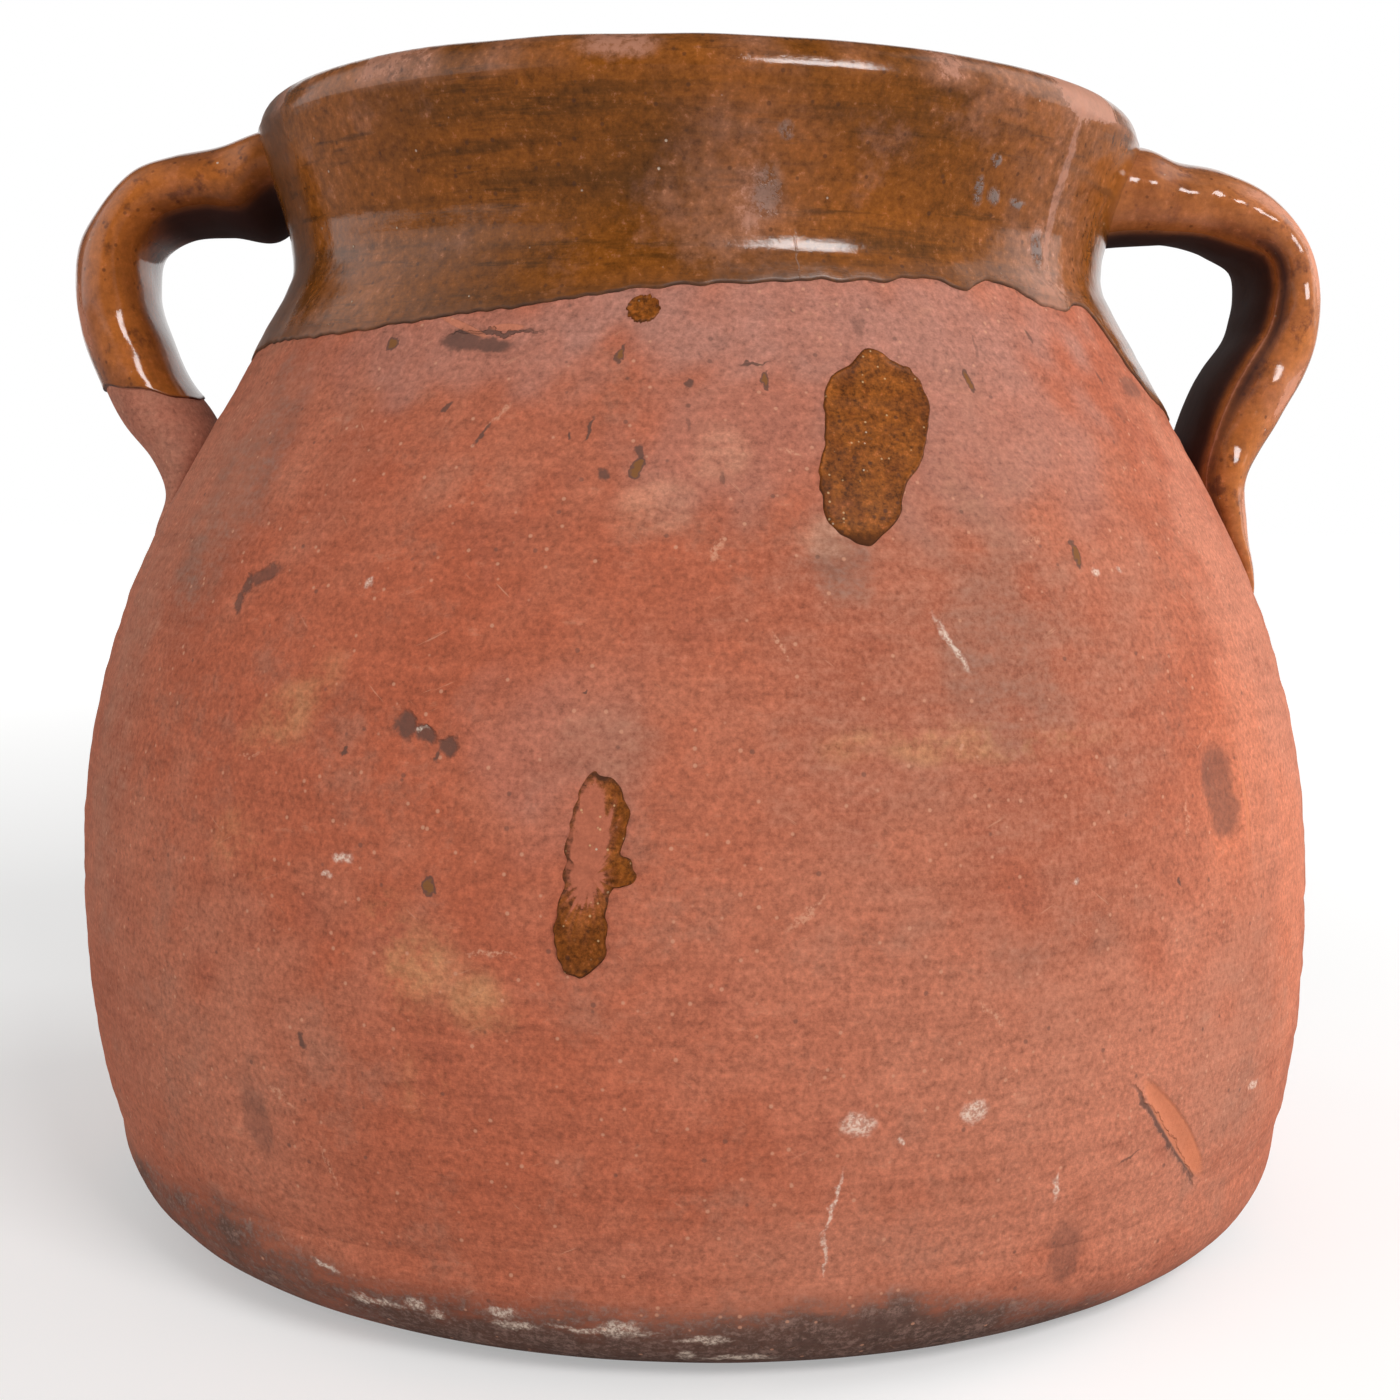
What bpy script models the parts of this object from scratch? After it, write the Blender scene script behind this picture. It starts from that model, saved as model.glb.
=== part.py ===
"""Two-handled terracotta cooking pot: the clay pieces a potter joins, and the glaze fired onto them.

Metres, +Z up. The origin is the middle of the underside, where the pot stands on a table.
The handles lie along X, and the side with the three glaze splashes faces -Y.
"""

import math

import bmesh
import bpy
from mathutils import Vector

# Thrown body, heights stacked from the table up
BODY_HEIGHT = 0.2120          # table to the waist of the neck
NECK_HEIGHT = 0.0350          # waist to the top of the lip
FOOT_HEIGHT = 0.0227          # table to the seam between base and belly
BELLY_HEIGHT = 0.0700         # table to the widest place
SHOULDER_DROP = 0.0620        # waist down to the middle of the shoulder
NECK_ROOT_DROP = 0.0120       # waist down to the seam between belly and neck

FOOT_DIAMETER = 0.2722
BELLY_DIAMETER = 0.2840
SHOULDER_DIAMETER = 0.2512
NECK_ROOT_DIAMETER = 0.1960
WAIST_DIAMETER = 0.1860
LIP_DIAMETER = 0.2012         # outside of the lip

# How fast the radius grows with height at the places where the wall isn't upright
FOOT_SLOPE = 0.27
SHOULDER_SLOPE = -0.50
NECK_ROOT_SLOPE = -0.56
LIP_SLOPE = 0.22

WALL = 0.0080
FLOOR = 0.0100
LIP_THICKNESS = 0.0116
HEEL_RADIUS = 0.0216          # rounding between the underside and the foot band
INNER_CORNER_RADIUS = 0.0120  # rounding between the floor and the wall inside

# Strap handles
STRAP_WIDTH = 0.0430
STRAP_THICKNESS = 0.0145
FINGER_ROOM = 0.0365          # waist to the inner face of the strap
HANDLE_SET_DOWN = 0.0058      # top of the lip to the top face of the strap
HANDLE_BEND_DROP = 0.0235     # upper joint down to the strap's furthest reach
HANDLE_LENGTH = 0.0655        # upper joint down to the lower joint
ROOT_FLARE = 1.2              # the strap is thicker by this factor where it meets the wall
ROOT_DEPTH = 0.0160           # how far the uncut strap runs into the wall
LEG_LEAN_DEGREES = 38.0       # angle of the lower leg from upright where it meets the shoulder
ARM_PULL = 0.75               # share of the strap's reach that its upper arm keeps straight
BEND_PULL = 0.60              # share of the drop that the outer bend takes up
LEG_PULL = 0.40               # share of the leg's height that stays straight above its joint

# Glaze
GLAZE = 0.0005                # thickness of every coat
SEAM = 0.0003                 # clearance between pieces that touch
GLAZE_LINE_DROP = 0.0110      # waist down to the edge of the collar coat at the front
GLAZE_LINE_SAG = 0.0110       # how much lower that edge is in line with the waist's sides
GLAZE_ARCH_REACH = 1.5        # the arch of that edge is drawn out to this many waist radii
LEFT_BARE_DROP = 0.0485       # upper joint of the left handle down to the edge of its coat

# Splashes on the front, with degrees from the front towards +X
LARGE_SPLASH_DEGREES = 17.5
LARGE_SPLASH_WIDTH = 0.0240
LARGE_SPLASH_LENGTH = 0.0380
LARGE_SPLASH_GAP = 0.0110     # edge of the collar coat down to the splash
SCAR_DEGREES = -6.75
SCAR_WIDTH = 0.0140
SCAR_LENGTH = 0.0350
SCAR_RISE = 0.0260            # widest place of the belly up to the middle of the scar
DROP_DEGREES = -5.5
DROP_DIAMETER = 0.0064
DROP_GAP = 0.0014             # edge of the collar coat down to the drop
SPLASH_REACH = 0.0300         # half the depth of the bodies that outline the splashes

# Outlines of the two long splashes, as shares of half the width and half the length
LARGE_SPLASH_SHARES = (
    (0.14, 1.00), (0.95, 0.50), (0.85, 0.05), (0.15, -0.60),
    (-0.50, -1.00), (-1.00, -0.70), (-1.00, -0.25), (-0.75, 0.60),
)
SCAR_SHARES = (
    (-0.26, 1.00), (0.58, 0.87), (0.79, 0.47), (0.65, 0.25), (1.00, 0.03), (0.33, -0.23),
    (0.33, -0.54), (-0.23, -0.93), (-0.58, -1.00), (-1.00, -0.74), (-0.86, -0.16), (-0.54, 0.80),
)

# How finely the curves are divided
SEGMENTS = 48                 # round the pot
BELLY_STEPS = 4               # between two stations of the belly
NECK_STEPS = 3                # between two stations of the neck
ARC_STEPS = 4                 # on the heel and the inner corner
LIP_STEPS = 4                 # over the lip
STRAP_STEPS = 5               # on each stretch of a strap
SECTION_POINTS = 14           # round a strap
SECTION_POWER = 2.8           # 2 is an ellipse, and higher is boxier
OUTLINE_STEPS = 3             # between two points of a splash's outline
DROP_POINTS = 12              # round the small drop
ARCH_STEPS = 14               # along the edge of the collar coat
MERGE_DISTANCE = 0.00001

# Linear colours
TERRACOTTA = (0.386, 0.112, 0.068)
DARK_TERRACOTTA = (0.280, 0.083, 0.050)
HONEY_GLAZE = (0.205, 0.070, 0.012)
AMBER_GLAZE = (0.300, 0.093, 0.018)
SPLASH_GLAZE = (0.230, 0.098, 0.030)
CLAY_ROUGHNESS = 0.75
GLAZE_ROUGHNESS = 0.15

POT_HEIGHT = BODY_HEIGHT + NECK_HEIGHT
LIP_RADIUS = LIP_THICKNESS / 2
LIP_HEIGHT = POT_HEIGHT - LIP_RADIUS
SHOULDER_HEIGHT = BODY_HEIGHT - SHOULDER_DROP
NECK_ROOT_HEIGHT = BODY_HEIGHT - NECK_ROOT_DROP
GLAZE_EDGE_HEIGHT = BODY_HEIGHT - GLAZE_LINE_DROP
LARGE_SPLASH_HEIGHT = GLAZE_EDGE_HEIGHT - LARGE_SPLASH_GAP - LARGE_SPLASH_LENGTH / 2
SCAR_HEIGHT = BELLY_HEIGHT + SCAR_RISE
DROP_HEIGHT = GLAZE_EDGE_HEIGHT - DROP_GAP - DROP_DIAMETER / 2
UPPER_JOINT_HEIGHT = POT_HEIGHT - HANDLE_SET_DOWN - STRAP_THICKNESS * ROOT_FLARE / 2
LEFT_BARE_HEIGHT = UPPER_JOINT_HEIGHT - LEFT_BARE_DROP

# Height, radius and slope of the outer wall at each station, from the foot seam to the lip
STATIONS = (
    (FOOT_HEIGHT, FOOT_DIAMETER / 2, FOOT_SLOPE),
    (BELLY_HEIGHT, BELLY_DIAMETER / 2, 0.0),
    (SHOULDER_HEIGHT, SHOULDER_DIAMETER / 2, SHOULDER_SLOPE),
    (NECK_ROOT_HEIGHT, NECK_ROOT_DIAMETER / 2, NECK_ROOT_SLOPE),
    (BODY_HEIGHT, WAIST_DIAMETER / 2, 0.0),
    (LIP_HEIGHT, LIP_DIAMETER / 2, LIP_SLOPE),
)


def wall_at(height):
    """Radius and slope of the outer wall at a height, on a smooth curve through the stations."""
    index = 0
    while index < len(STATIONS) - 2 and height > STATIONS[index + 1][0]:
        index += 1
    low, low_radius, low_slope = STATIONS[index]
    high, high_radius, high_slope = STATIONS[index + 1]
    span = high - low
    t = (height - low) / span
    rise = high_radius - low_radius
    bend = low_slope * span - rise
    twist = rise - high_slope * span
    radius = low_radius + t * rise + t * (1 - t) * ((1 - t) * bend + t * twist)
    slope = rise + (1 - 2 * t) * ((1 - t) * bend + t * twist) + t * (1 - t) * (twist - bend)
    return radius, slope / span


def wall_thickness(height):
    """Thickness of the clay: even in the belly, growing to the lip above the waist."""
    share = max(0.0, (height - BODY_HEIGHT) / (LIP_HEIGHT - BODY_HEIGHT))
    return WALL + share * (LIP_THICKNESS - WALL)


def outer_point(height, offset=0.0):
    """Point of the outer wall, moved outwards by an offset across its slope."""
    radius, slope = wall_at(height)
    return (radius + offset * math.hypot(1, slope), height)


def inner_point(height, offset=0.0):
    """Point of the inner wall, moved towards the axis by an offset across its slope."""
    return outer_point(height, -wall_thickness(height) - offset)


def spread(start, end, count):
    """Evenly spaced values from start to end, with count steps between them."""
    return [start + (end - start) * step / count for step in range(count + 1)]


def station_heights(first, last, steps):
    """Heights from one station to another, with a number of steps between neighbours."""
    heights = [STATIONS[first][0]]
    for index in range(first, last):
        heights += spread(STATIONS[index][0], STATIONS[index + 1][0], steps)[1:]
    return heights


def arc(centre, radius, start_degrees, end_degrees, steps):
    """Points on an arc in the profile plane. 0 degrees points outwards, 90 up."""
    points = []
    for degrees in spread(start_degrees, end_degrees, steps):
        angle = math.radians(degrees)
        points.append((centre[0] + radius * math.cos(angle), centre[1] + radius * math.sin(angle)))
    return points


BELLY_HEIGHTS = station_heights(0, 3, BELLY_STEPS)
NECK_HEIGHTS = station_heights(3, 5, NECK_STEPS)
LIP_CENTRE = (inner_point(LIP_HEIGHT)[0] + LIP_RADIUS, LIP_HEIGHT)


def collection_named(name):
    """New collection in the scene."""
    collection = bpy.data.collections.new(name)
    bpy.context.scene.collection.children.link(collection)
    return collection


def material_named(name, color, roughness):
    """Principled material of one colour."""
    material = bpy.data.materials.new(name)
    material.use_nodes = True
    shader = material.node_tree.nodes["Principled BSDF"]
    shader.inputs["Base Color"].default_value = (*color, 1)
    shader.inputs["Roughness"].default_value = roughness
    shader.inputs["Metallic"].default_value = 0.0
    return material


def add_object(name, data, collection):
    """Object with its data, in a collection."""
    obj = bpy.data.objects.new(name, data)
    collection.objects.link(obj)
    return obj


def as_helper(obj):
    """Mark a cutter or a guide, which isn't a piece of the pot."""
    obj.hide_render = True
    obj.display_type = "WIRE"
    return obj


def turned(name, profile, collection, closed=True):
    """Body of revolution from a profile of (radius, height) points that runs down its outer side."""
    mesh = bpy.data.meshes.new(name)
    count = len(profile)
    edges = [(index, (index + 1) % count) for index in range(count if closed else count - 1)]
    mesh.from_pydata([(radius, 0, height) for radius, height in profile], edges, [])
    obj = add_object(name, mesh, collection)
    screw = obj.modifiers.new("Turning", "SCREW")
    screw.axis = "Z"
    screw.steps = SEGMENTS
    screw.render_steps = SEGMENTS
    screw.use_merge_vertices = True
    screw.merge_threshold = MERGE_DISTANCE
    screw.use_smooth_shade = True
    return obj


def shell(name, outside, inside, collection):
    """Turned shell between two profiles that both run from the bottom up."""
    return turned(name, outside[::-1] + inside, collection)


def boolean(obj, operation, other):
    """Cut or limit an object with another one."""
    modifier = obj.modifiers.new(operation.title(), "BOOLEAN")
    modifier.operation = operation
    modifier.object = other
    modifier.solver = "EXACT"


def mesh_from_curve(curve, collection):
    """Closed mesh object in place of a curve object."""
    bpy.context.view_layer.update()
    graph = bpy.context.evaluated_depsgraph_get()
    mesh = bpy.data.meshes.new_from_object(curve.evaluated_get(graph), depsgraph=graph)
    work = bmesh.new()
    work.from_mesh(mesh)
    bmesh.ops.remove_doubles(work, verts=work.verts, dist=MERGE_DISTANCE)
    bmesh.ops.recalc_face_normals(work, faces=work.faces)
    work.to_mesh(mesh)
    work.free()
    name, place = curve.name, curve.matrix_world.copy()
    bpy.data.objects.remove(curve)
    obj = add_object(name, mesh, collection)
    obj.matrix_world = place
    return obj


def base_dish(parts):
    """Flat floor, rounded heel and foot band, up to the seam with the belly."""
    foot_radius = FOOT_DIAMETER / 2
    inside_radius = inner_point(FOOT_HEIGHT)[0]
    seam_height = FOOT_HEIGHT - SEAM
    heel = min(HEEL_RADIUS, seam_height)
    corner = min(INNER_CORNER_RADIUS, seam_height - FLOOR)
    inner_corner = arc((inside_radius - corner, FLOOR + corner), corner, -90, 0, ARC_STEPS)
    outer_heel = arc((foot_radius - heel, heel), heel, 0, -90, ARC_STEPS)
    seam = [(inside_radius, seam_height), (foot_radius, seam_height)]
    profile = [(0, FLOOR)] + inner_corner + seam + outer_heel + [(0, 0)]
    return turned("base_dish", profile, parts, closed=False)


def belly_wall(parts):
    """Barrel wall from the foot seam to the root of the neck."""
    outside = [outer_point(height) for height in BELLY_HEIGHTS]
    inside = [inner_point(height) for height in BELLY_HEIGHTS]
    return shell("belly_wall", outside, inside, parts)


def neck_collar(parts):
    """Flared neck with its rounded lip, seated on the belly."""
    heights = [NECK_HEIGHTS[0] + SEAM] + NECK_HEIGHTS[1:]
    outside = [outer_point(height) for height in heights]
    inside = [inner_point(height) for height in heights]
    lip = arc(LIP_CENTRE, LIP_RADIUS, 0, 180, LIP_STEPS)
    return shell("neck_collar", outside + lip[1:-1], inside, parts)


def lining_profile(offset):
    """Inside of the pot, moved in by an offset, from the middle of the floor up to the lip."""
    corner = min(INNER_CORNER_RADIUS, FOOT_HEIGHT - SEAM - FLOOR)
    centre = (inner_point(FOOT_HEIGHT)[0] - corner, FLOOR + corner)
    floor = [(0, FLOOR + offset)] + arc(centre, corner - offset, -90, 0, ARC_STEPS)
    heights = BELLY_HEIGHTS + NECK_HEIGHTS[1:-1] + [LIP_HEIGHT - SEAM]
    return floor + [inner_point(height, offset) for height in heights]


def inner_glaze(parts):
    """Glaze lining over the floor and the whole inner wall."""
    outside = lining_profile(SEAM)
    inside = lining_profile(SEAM + GLAZE)
    return turned("inner_glaze", inside + outside[::-1], parts, closed=False)


def coat_profile(offset, heights):
    """Outer wall and lip, moved out by an offset, from a low edge up over the lip."""
    lip = arc(LIP_CENTRE, LIP_RADIUS + offset, 0, 180, LIP_STEPS)
    return [outer_point(height, offset) for height in heights[:-1]] + lip


def pot_body(name, offset, cutters):
    """Solid body of the outer wall above the foot, grown by an offset, to trim the handles with."""
    heights = BELLY_HEIGHTS + NECK_HEIGHTS[1:]
    lip = arc(LIP_CENTRE, LIP_RADIUS + offset, 0, 90, LIP_STEPS // 2)
    outside = [outer_point(height, offset) for height in heights[:-1]] + lip
    profile = [(0, outside[-1][1])] + outside[::-1] + [(0, outside[0][1])]
    return as_helper(turned(name, profile, cutters, closed=False))


def collar_glaze(parts, cutters, strap_bodies):
    """Glaze over the lip and the neck, open round the handles, with a low arched edge."""
    heights = spread(SHOULDER_HEIGHT, NECK_ROOT_HEIGHT, BELLY_STEPS)[:-1] + NECK_HEIGHTS
    coat = shell("collar_glaze", coat_profile(SEAM + GLAZE, heights), coat_profile(SEAM, heights), parts)
    boolean(coat, "DIFFERENCE", glaze_line_body(cutters))
    for body in strap_bodies:
        boolean(coat, "DIFFERENCE", body)
    return coat


def glaze_line_body(cutters):
    """Block below the collar coat's edge, whose top is an arch seen from the front."""
    clear = BELLY_DIAMETER
    curve = bpy.data.curves.new("glaze_line", "CURVE")
    curve.dimensions = "2D"
    curve.fill_mode = "BOTH"
    curve.extrude = clear
    arch = []
    for share in spread(-GLAZE_ARCH_REACH, GLAZE_ARCH_REACH, ARCH_STEPS):
        arch.append((share * WAIST_DIAMETER / 2, GLAZE_EDGE_HEIGHT - GLAZE_LINE_SAG * share ** 2))
    ends = [(clear, arch[-1][1]), (clear, 0), (-clear, 0), (-clear, arch[0][1])]
    add_poly_spline(curve, arch + ends)
    obj = add_object("glaze_line", curve, cutters)
    obj.rotation_euler = (math.radians(90), 0, 0)
    return as_helper(mesh_from_curve(obj, cutters))


def add_poly_spline(curve, points):
    """Closed straight-sided spline through (x, y) points."""
    spline = curve.splines.new("POLY")
    spline.points.add(len(points) - 1)
    for point, place in zip(spline.points, points):
        point.co = (*place, 0, 1)
    spline.use_cyclic_u = True


def strap_section(growth, cutters):
    """Rounded strap section, grown on all sides, as the guide that the handle's curve is swept with."""
    curve = bpy.data.curves.new("strap_section", "CURVE")
    curve.dimensions = "2D"
    curve.fill_mode = "NONE"
    half_thickness = STRAP_THICKNESS / 2 + growth
    half_width = STRAP_WIDTH / 2 + growth
    points = []
    for index in range(SECTION_POINTS):
        angle = 2 * math.pi * (index + 0.5) / SECTION_POINTS
        across, along = math.cos(angle), math.sin(angle)
        power = 2 / SECTION_POWER
        x = math.copysign(abs(across) ** power, across) * half_thickness
        y = math.copysign(abs(along) ** power, along) * half_width
        points.append((x, y))
    add_poly_spline(curve, points)
    return as_helper(add_object("strap_section", curve, cutters))


def strap_path():
    """Places, Bezier handles and thickness factors along a strap, as (reach, height)."""
    upper = Vector((wall_at(UPPER_JOINT_HEIGHT)[0], UPPER_JOINT_HEIGHT))
    reach = WAIST_DIAMETER / 2 + FINGER_ROOM + STRAP_THICKNESS / 2
    bend = Vector((reach, UPPER_JOINT_HEIGHT - HANDLE_BEND_DROP))
    lower_height = UPPER_JOINT_HEIGHT - HANDLE_LENGTH
    lower = Vector((wall_at(lower_height)[0], lower_height))
    level = Vector((1, 0))
    upright = Vector((0, 1))
    lean = math.radians(LEG_LEAN_DEGREES)
    leg = Vector((math.sin(lean), math.cos(lean)))
    arm_pull = level * ARM_PULL * (bend.x - upper.x)
    top_pull = upright * BEND_PULL * HANDLE_BEND_DROP
    leg_height = bend.y - lower.y
    side_pull = upright * LEG_PULL * leg_height
    leg_pull = leg * LEG_PULL * leg_height
    inside_upper = upper - level * ROOT_DEPTH
    inside_lower = lower - leg * ROOT_DEPTH
    stub = ROOT_DEPTH / 3
    return (
        (inside_upper, inside_upper - level * stub, inside_upper + level * stub, ROOT_FLARE),
        (upper, upper - level * stub, upper + arm_pull, ROOT_FLARE),
        (bend, bend + top_pull, bend - side_pull, 1.0),
        (lower, lower + leg_pull, lower - leg * stub, ROOT_FLARE),
        (inside_lower, inside_lower + leg * stub, inside_lower - leg * stub, ROOT_FLARE),
    )


def strap(name, side, growth, capped, parts, cutters):
    """Strap swept along its path on the +X side (1) or the -X side (-1), before its ends are trimmed."""
    curve = bpy.data.curves.new(name, "CURVE")
    curve.dimensions = "2D"
    curve.fill_mode = "NONE"
    curve.resolution_u = STRAP_STEPS
    curve.bevel_mode = "OBJECT"
    curve.bevel_object = strap_section(growth, cutters)
    curve.use_fill_caps = capped
    path = strap_path()
    spline = curve.splines.new("BEZIER")
    spline.bezier_points.add(len(path) - 1)
    for point, (place, before, after, factor) in zip(spline.bezier_points, path):
        point.handle_left_type = "FREE"
        point.handle_right_type = "FREE"
        point.co = (*place, 0)
        point.handle_left = (*before, 0)
        point.handle_right = (*after, 0)
        point.radius = factor
    section = curve.bevel_object
    obj = add_object(name, curve, parts)
    obj.rotation_euler = (math.radians(90), 0, 0 if side > 0 else math.pi)
    swept = mesh_from_curve(obj, parts)
    bpy.data.objects.remove(section)
    return swept


def handle(name, side, pot, parts, cutters):
    """Clay strap with its two ends cut to sit on the neck and the shoulder."""
    obj = strap(name, side, 0.0, True, parts, cutters)
    boolean(obj, "DIFFERENCE", pot)
    return obj


def handle_glaze(name, side, coated_pot, parts, cutters):
    """Thin coat round a strap, cut clear of the collar's coat."""
    obj = strap(name, side, SEAM, False, parts, cutters)
    coat = obj.modifiers.new("Coat", "SOLIDIFY")
    coat.thickness = GLAZE
    coat.offset = 1.0
    coat.use_rim = True
    boolean(obj, "DIFFERENCE", coated_pot)
    return obj


def bare_end_body(cutters):
    """Block round the lower end of the left strap, where the clay is bare."""
    mesh = bpy.data.meshes.new("bare_end")
    work = bmesh.new()
    bmesh.ops.create_cube(work, size=1.0)
    work.to_mesh(mesh)
    work.free()
    obj = as_helper(add_object("bare_end", mesh, cutters))
    obj.scale = (BELLY_DIAMETER, BELLY_DIAMETER, LEFT_BARE_HEIGHT)
    obj.location = (-BELLY_DIAMETER / 2, 0, LEFT_BARE_HEIGHT / 2)
    return obj


def face_outwards(obj, degrees, height):
    """Set an outline body on the front of the wall, with its depth along the radius."""
    angle = math.radians(degrees)
    radius = wall_at(height)[0]
    obj.location = (radius * math.sin(angle), -radius * math.cos(angle), height)
    obj.rotation_euler = (math.radians(90), 0, angle)


def splash(name, outline, width, length, degrees, height, parts, cutters):
    """Thin patch of glaze on the belly, inside a rounded outline."""
    curve = bpy.data.curves.new(name + "_outline", "CURVE")
    curve.dimensions = "2D"
    curve.fill_mode = "BOTH"
    curve.extrude = SPLASH_REACH
    curve.resolution_u = OUTLINE_STEPS
    spline = curve.splines.new("BEZIER")
    spline.bezier_points.add(len(outline) - 1)
    for point, (across, along) in zip(spline.bezier_points, outline):
        point.co = (across * width / 2, along * length / 2, 0)
        point.handle_left_type = "AUTO"
        point.handle_right_type = "AUTO"
    spline.use_cyclic_u = True
    body = add_object(name + "_outline", curve, cutters)
    face_outwards(body, degrees, height)
    body = as_helper(mesh_from_curve(body, cutters))
    return splash_patch(name, body, height, length, parts)


def drop(name, diameter, degrees, height, parts, cutters):
    """Thin round drop of glaze on the shoulder."""
    mesh = bpy.data.meshes.new(name + "_outline")
    work = bmesh.new()
    bmesh.ops.create_cone(
        work, cap_ends=True, segments=DROP_POINTS, radius1=diameter / 2, radius2=diameter / 2,
        depth=2 * SPLASH_REACH,
    )
    work.to_mesh(mesh)
    work.free()
    body = as_helper(add_object(name + "_outline", mesh, cutters))
    face_outwards(body, degrees, height)
    return splash_patch(name, body, height, diameter, parts)


def splash_patch(name, body, height, length, parts):
    """Part of a thin coat on the belly that lies inside an outline body."""
    low = height - length
    high = height + length
    heights = [low] + [value for value in BELLY_HEIGHTS + NECK_HEIGHTS[1:] if low < value < high] + [high]
    outside = [outer_point(value, SEAM + GLAZE) for value in heights]
    inside = [outer_point(value, SEAM) for value in heights]
    patch = shell(name, outside, inside, parts)
    boolean(patch, "INTERSECT", body)
    return patch


def finish(obj, material, owner):
    """Give a piece its material and smooth shading, and hang it on the pot's empty."""
    obj.data.materials.clear()
    obj.data.materials.append(material)
    obj.data.shade_smooth()
    obj.parent = owner


def main():
    """Build every piece of the pot."""
    for obj in list(bpy.data.objects):
        bpy.data.objects.remove(obj)
    parts = collection_named("cooking_pot")
    cutters = collection_named("cutters")
    owner = add_object("cooking_pot_origin", None, parts)

    clay = material_named("terracotta", TERRACOTTA, CLAY_ROUGHNESS)
    heel_clay = material_named("scorched_terracotta", DARK_TERRACOTTA, CLAY_ROUGHNESS)
    honey = material_named("honey_glaze", HONEY_GLAZE, GLAZE_ROUGHNESS)
    amber = material_named("amber_glaze", AMBER_GLAZE, GLAZE_ROUGHNESS)
    splashed = material_named("splash_glaze", SPLASH_GLAZE, GLAZE_ROUGHNESS)

    pot = pot_body("bare_pot", SEAM, cutters)
    coated_pot = pot_body("coated_pot", 2 * SEAM + GLAZE, cutters)
    finish(base_dish(parts), heel_clay, owner)
    finish(belly_wall(parts), clay, owner)
    finish(neck_collar(parts), clay, owner)
    finish(inner_glaze(parts), honey, owner)

    sides = (("left", -1), ("right", 1))
    for word, side in sides:
        finish(handle(word + "_handle", side, pot, parts, cutters), clay, owner)
    sleeves = {}
    for word, side in sides:
        sleeves[word] = handle_glaze(word + "_handle_glaze", side, coated_pot, parts, cutters)
        finish(sleeves[word], amber, owner)
    boolean(sleeves["left"], "DIFFERENCE", bare_end_body(cutters))
    strap_bodies = []
    for word, side in sides:
        strap_bodies.append(as_helper(strap(word + "_strap", side, SEAM, True, cutters, cutters)))
    finish(collar_glaze(parts, cutters, strap_bodies), honey, owner)

    finish(
        splash("large_splash", LARGE_SPLASH_SHARES, LARGE_SPLASH_WIDTH, LARGE_SPLASH_LENGTH,
               LARGE_SPLASH_DEGREES, LARGE_SPLASH_HEIGHT, parts, cutters),
        splashed, owner,
    )
    finish(
        splash("scar_glaze", SCAR_SHARES, SCAR_WIDTH, SCAR_LENGTH,
               SCAR_DEGREES, SCAR_HEIGHT, parts, cutters),
        splashed, owner,
    )
    finish(drop("round_splash", DROP_DIAMETER, DROP_DEGREES, DROP_HEIGHT, parts, cutters), splashed, owner)


main()
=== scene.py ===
"""Dressed model of a two-handled terracotta cooking pot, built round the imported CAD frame.

Sizes are in millimetres and angles in degrees unless a name says otherwise. An azimuth of 0 faces the
camera along -Y and grows towards +X, and heights start at the table.
"""

from __future__ import annotations

import logging
import math
from dataclasses import dataclass, field
from enum import Enum
from typing import Any, Iterable, Union

import bpy
import numpy as np
from bpy.types import Material, Mesh, NodeSocket, NodeTree, Object
from mathutils import Matrix, Vector


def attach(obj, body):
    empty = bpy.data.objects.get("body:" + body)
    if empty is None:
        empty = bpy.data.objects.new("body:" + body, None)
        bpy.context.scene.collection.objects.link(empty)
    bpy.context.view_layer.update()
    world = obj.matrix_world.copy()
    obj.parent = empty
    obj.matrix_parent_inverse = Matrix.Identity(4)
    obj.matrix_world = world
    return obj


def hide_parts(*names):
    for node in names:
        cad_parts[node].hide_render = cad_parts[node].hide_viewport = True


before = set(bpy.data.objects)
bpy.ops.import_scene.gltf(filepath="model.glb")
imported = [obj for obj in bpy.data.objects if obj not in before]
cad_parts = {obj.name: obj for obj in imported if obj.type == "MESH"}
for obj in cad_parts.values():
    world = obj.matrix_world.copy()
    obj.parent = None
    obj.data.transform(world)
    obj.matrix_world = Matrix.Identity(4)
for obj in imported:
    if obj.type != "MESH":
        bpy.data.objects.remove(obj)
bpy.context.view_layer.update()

LOG = logging.getLogger("cooking_pot")
MM = 0.001
BODY = "root"
# Radius of the cylinder that the wall is unrolled from
CHART_RADIUS = 142.0
# Maps of each mesh: the one that is baked, and the unrolled wall that carries the marks
BAKE_MAP = "OFBake"
CHART_MAP = "wall"
# Marks turn in steps of this, so that they share their turned charts
TURN_STEP = 15.0
# Distance that lies outside every mark
FAR = 9.0
# Edges that fold more than this stay sharp
CREASE = 55.0
# Pitch of a ripple that stays the same along the height
ENDLESS = 1e9
# Painted layers of the clay's stains
LAYERS = ("stain", "wear", "tone")
# Free edge round a piece that fills the baked map
MARGIN = 0.004

Array = np.ndarray
Colour = tuple[float, float, float]
Triple = tuple[float, float, float]
Table = tuple[tuple[float, float], ...]
Paints = dict[str, Array]
Marks = tuple["Mark", ...]
Columns = tuple[Array, Array, Array, Array]
Value = Union["Wire", float, int, tuple]
Field = Union[Array, float]


def smooth(share: Field) -> Field:
    """Ease a share from 0 to 1, held at both ends."""
    share = np.clip(share, 0.0, 1.0)
    return share * share * (3.0 - 2.0 * share)


def bell(value: Field, middle: float, reach: float, power: int = 2) -> Field:
    """Hump of height 1 round a middle, which falls to a third at its reach."""
    return np.exp(-((value - middle) / reach) ** power)


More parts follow.
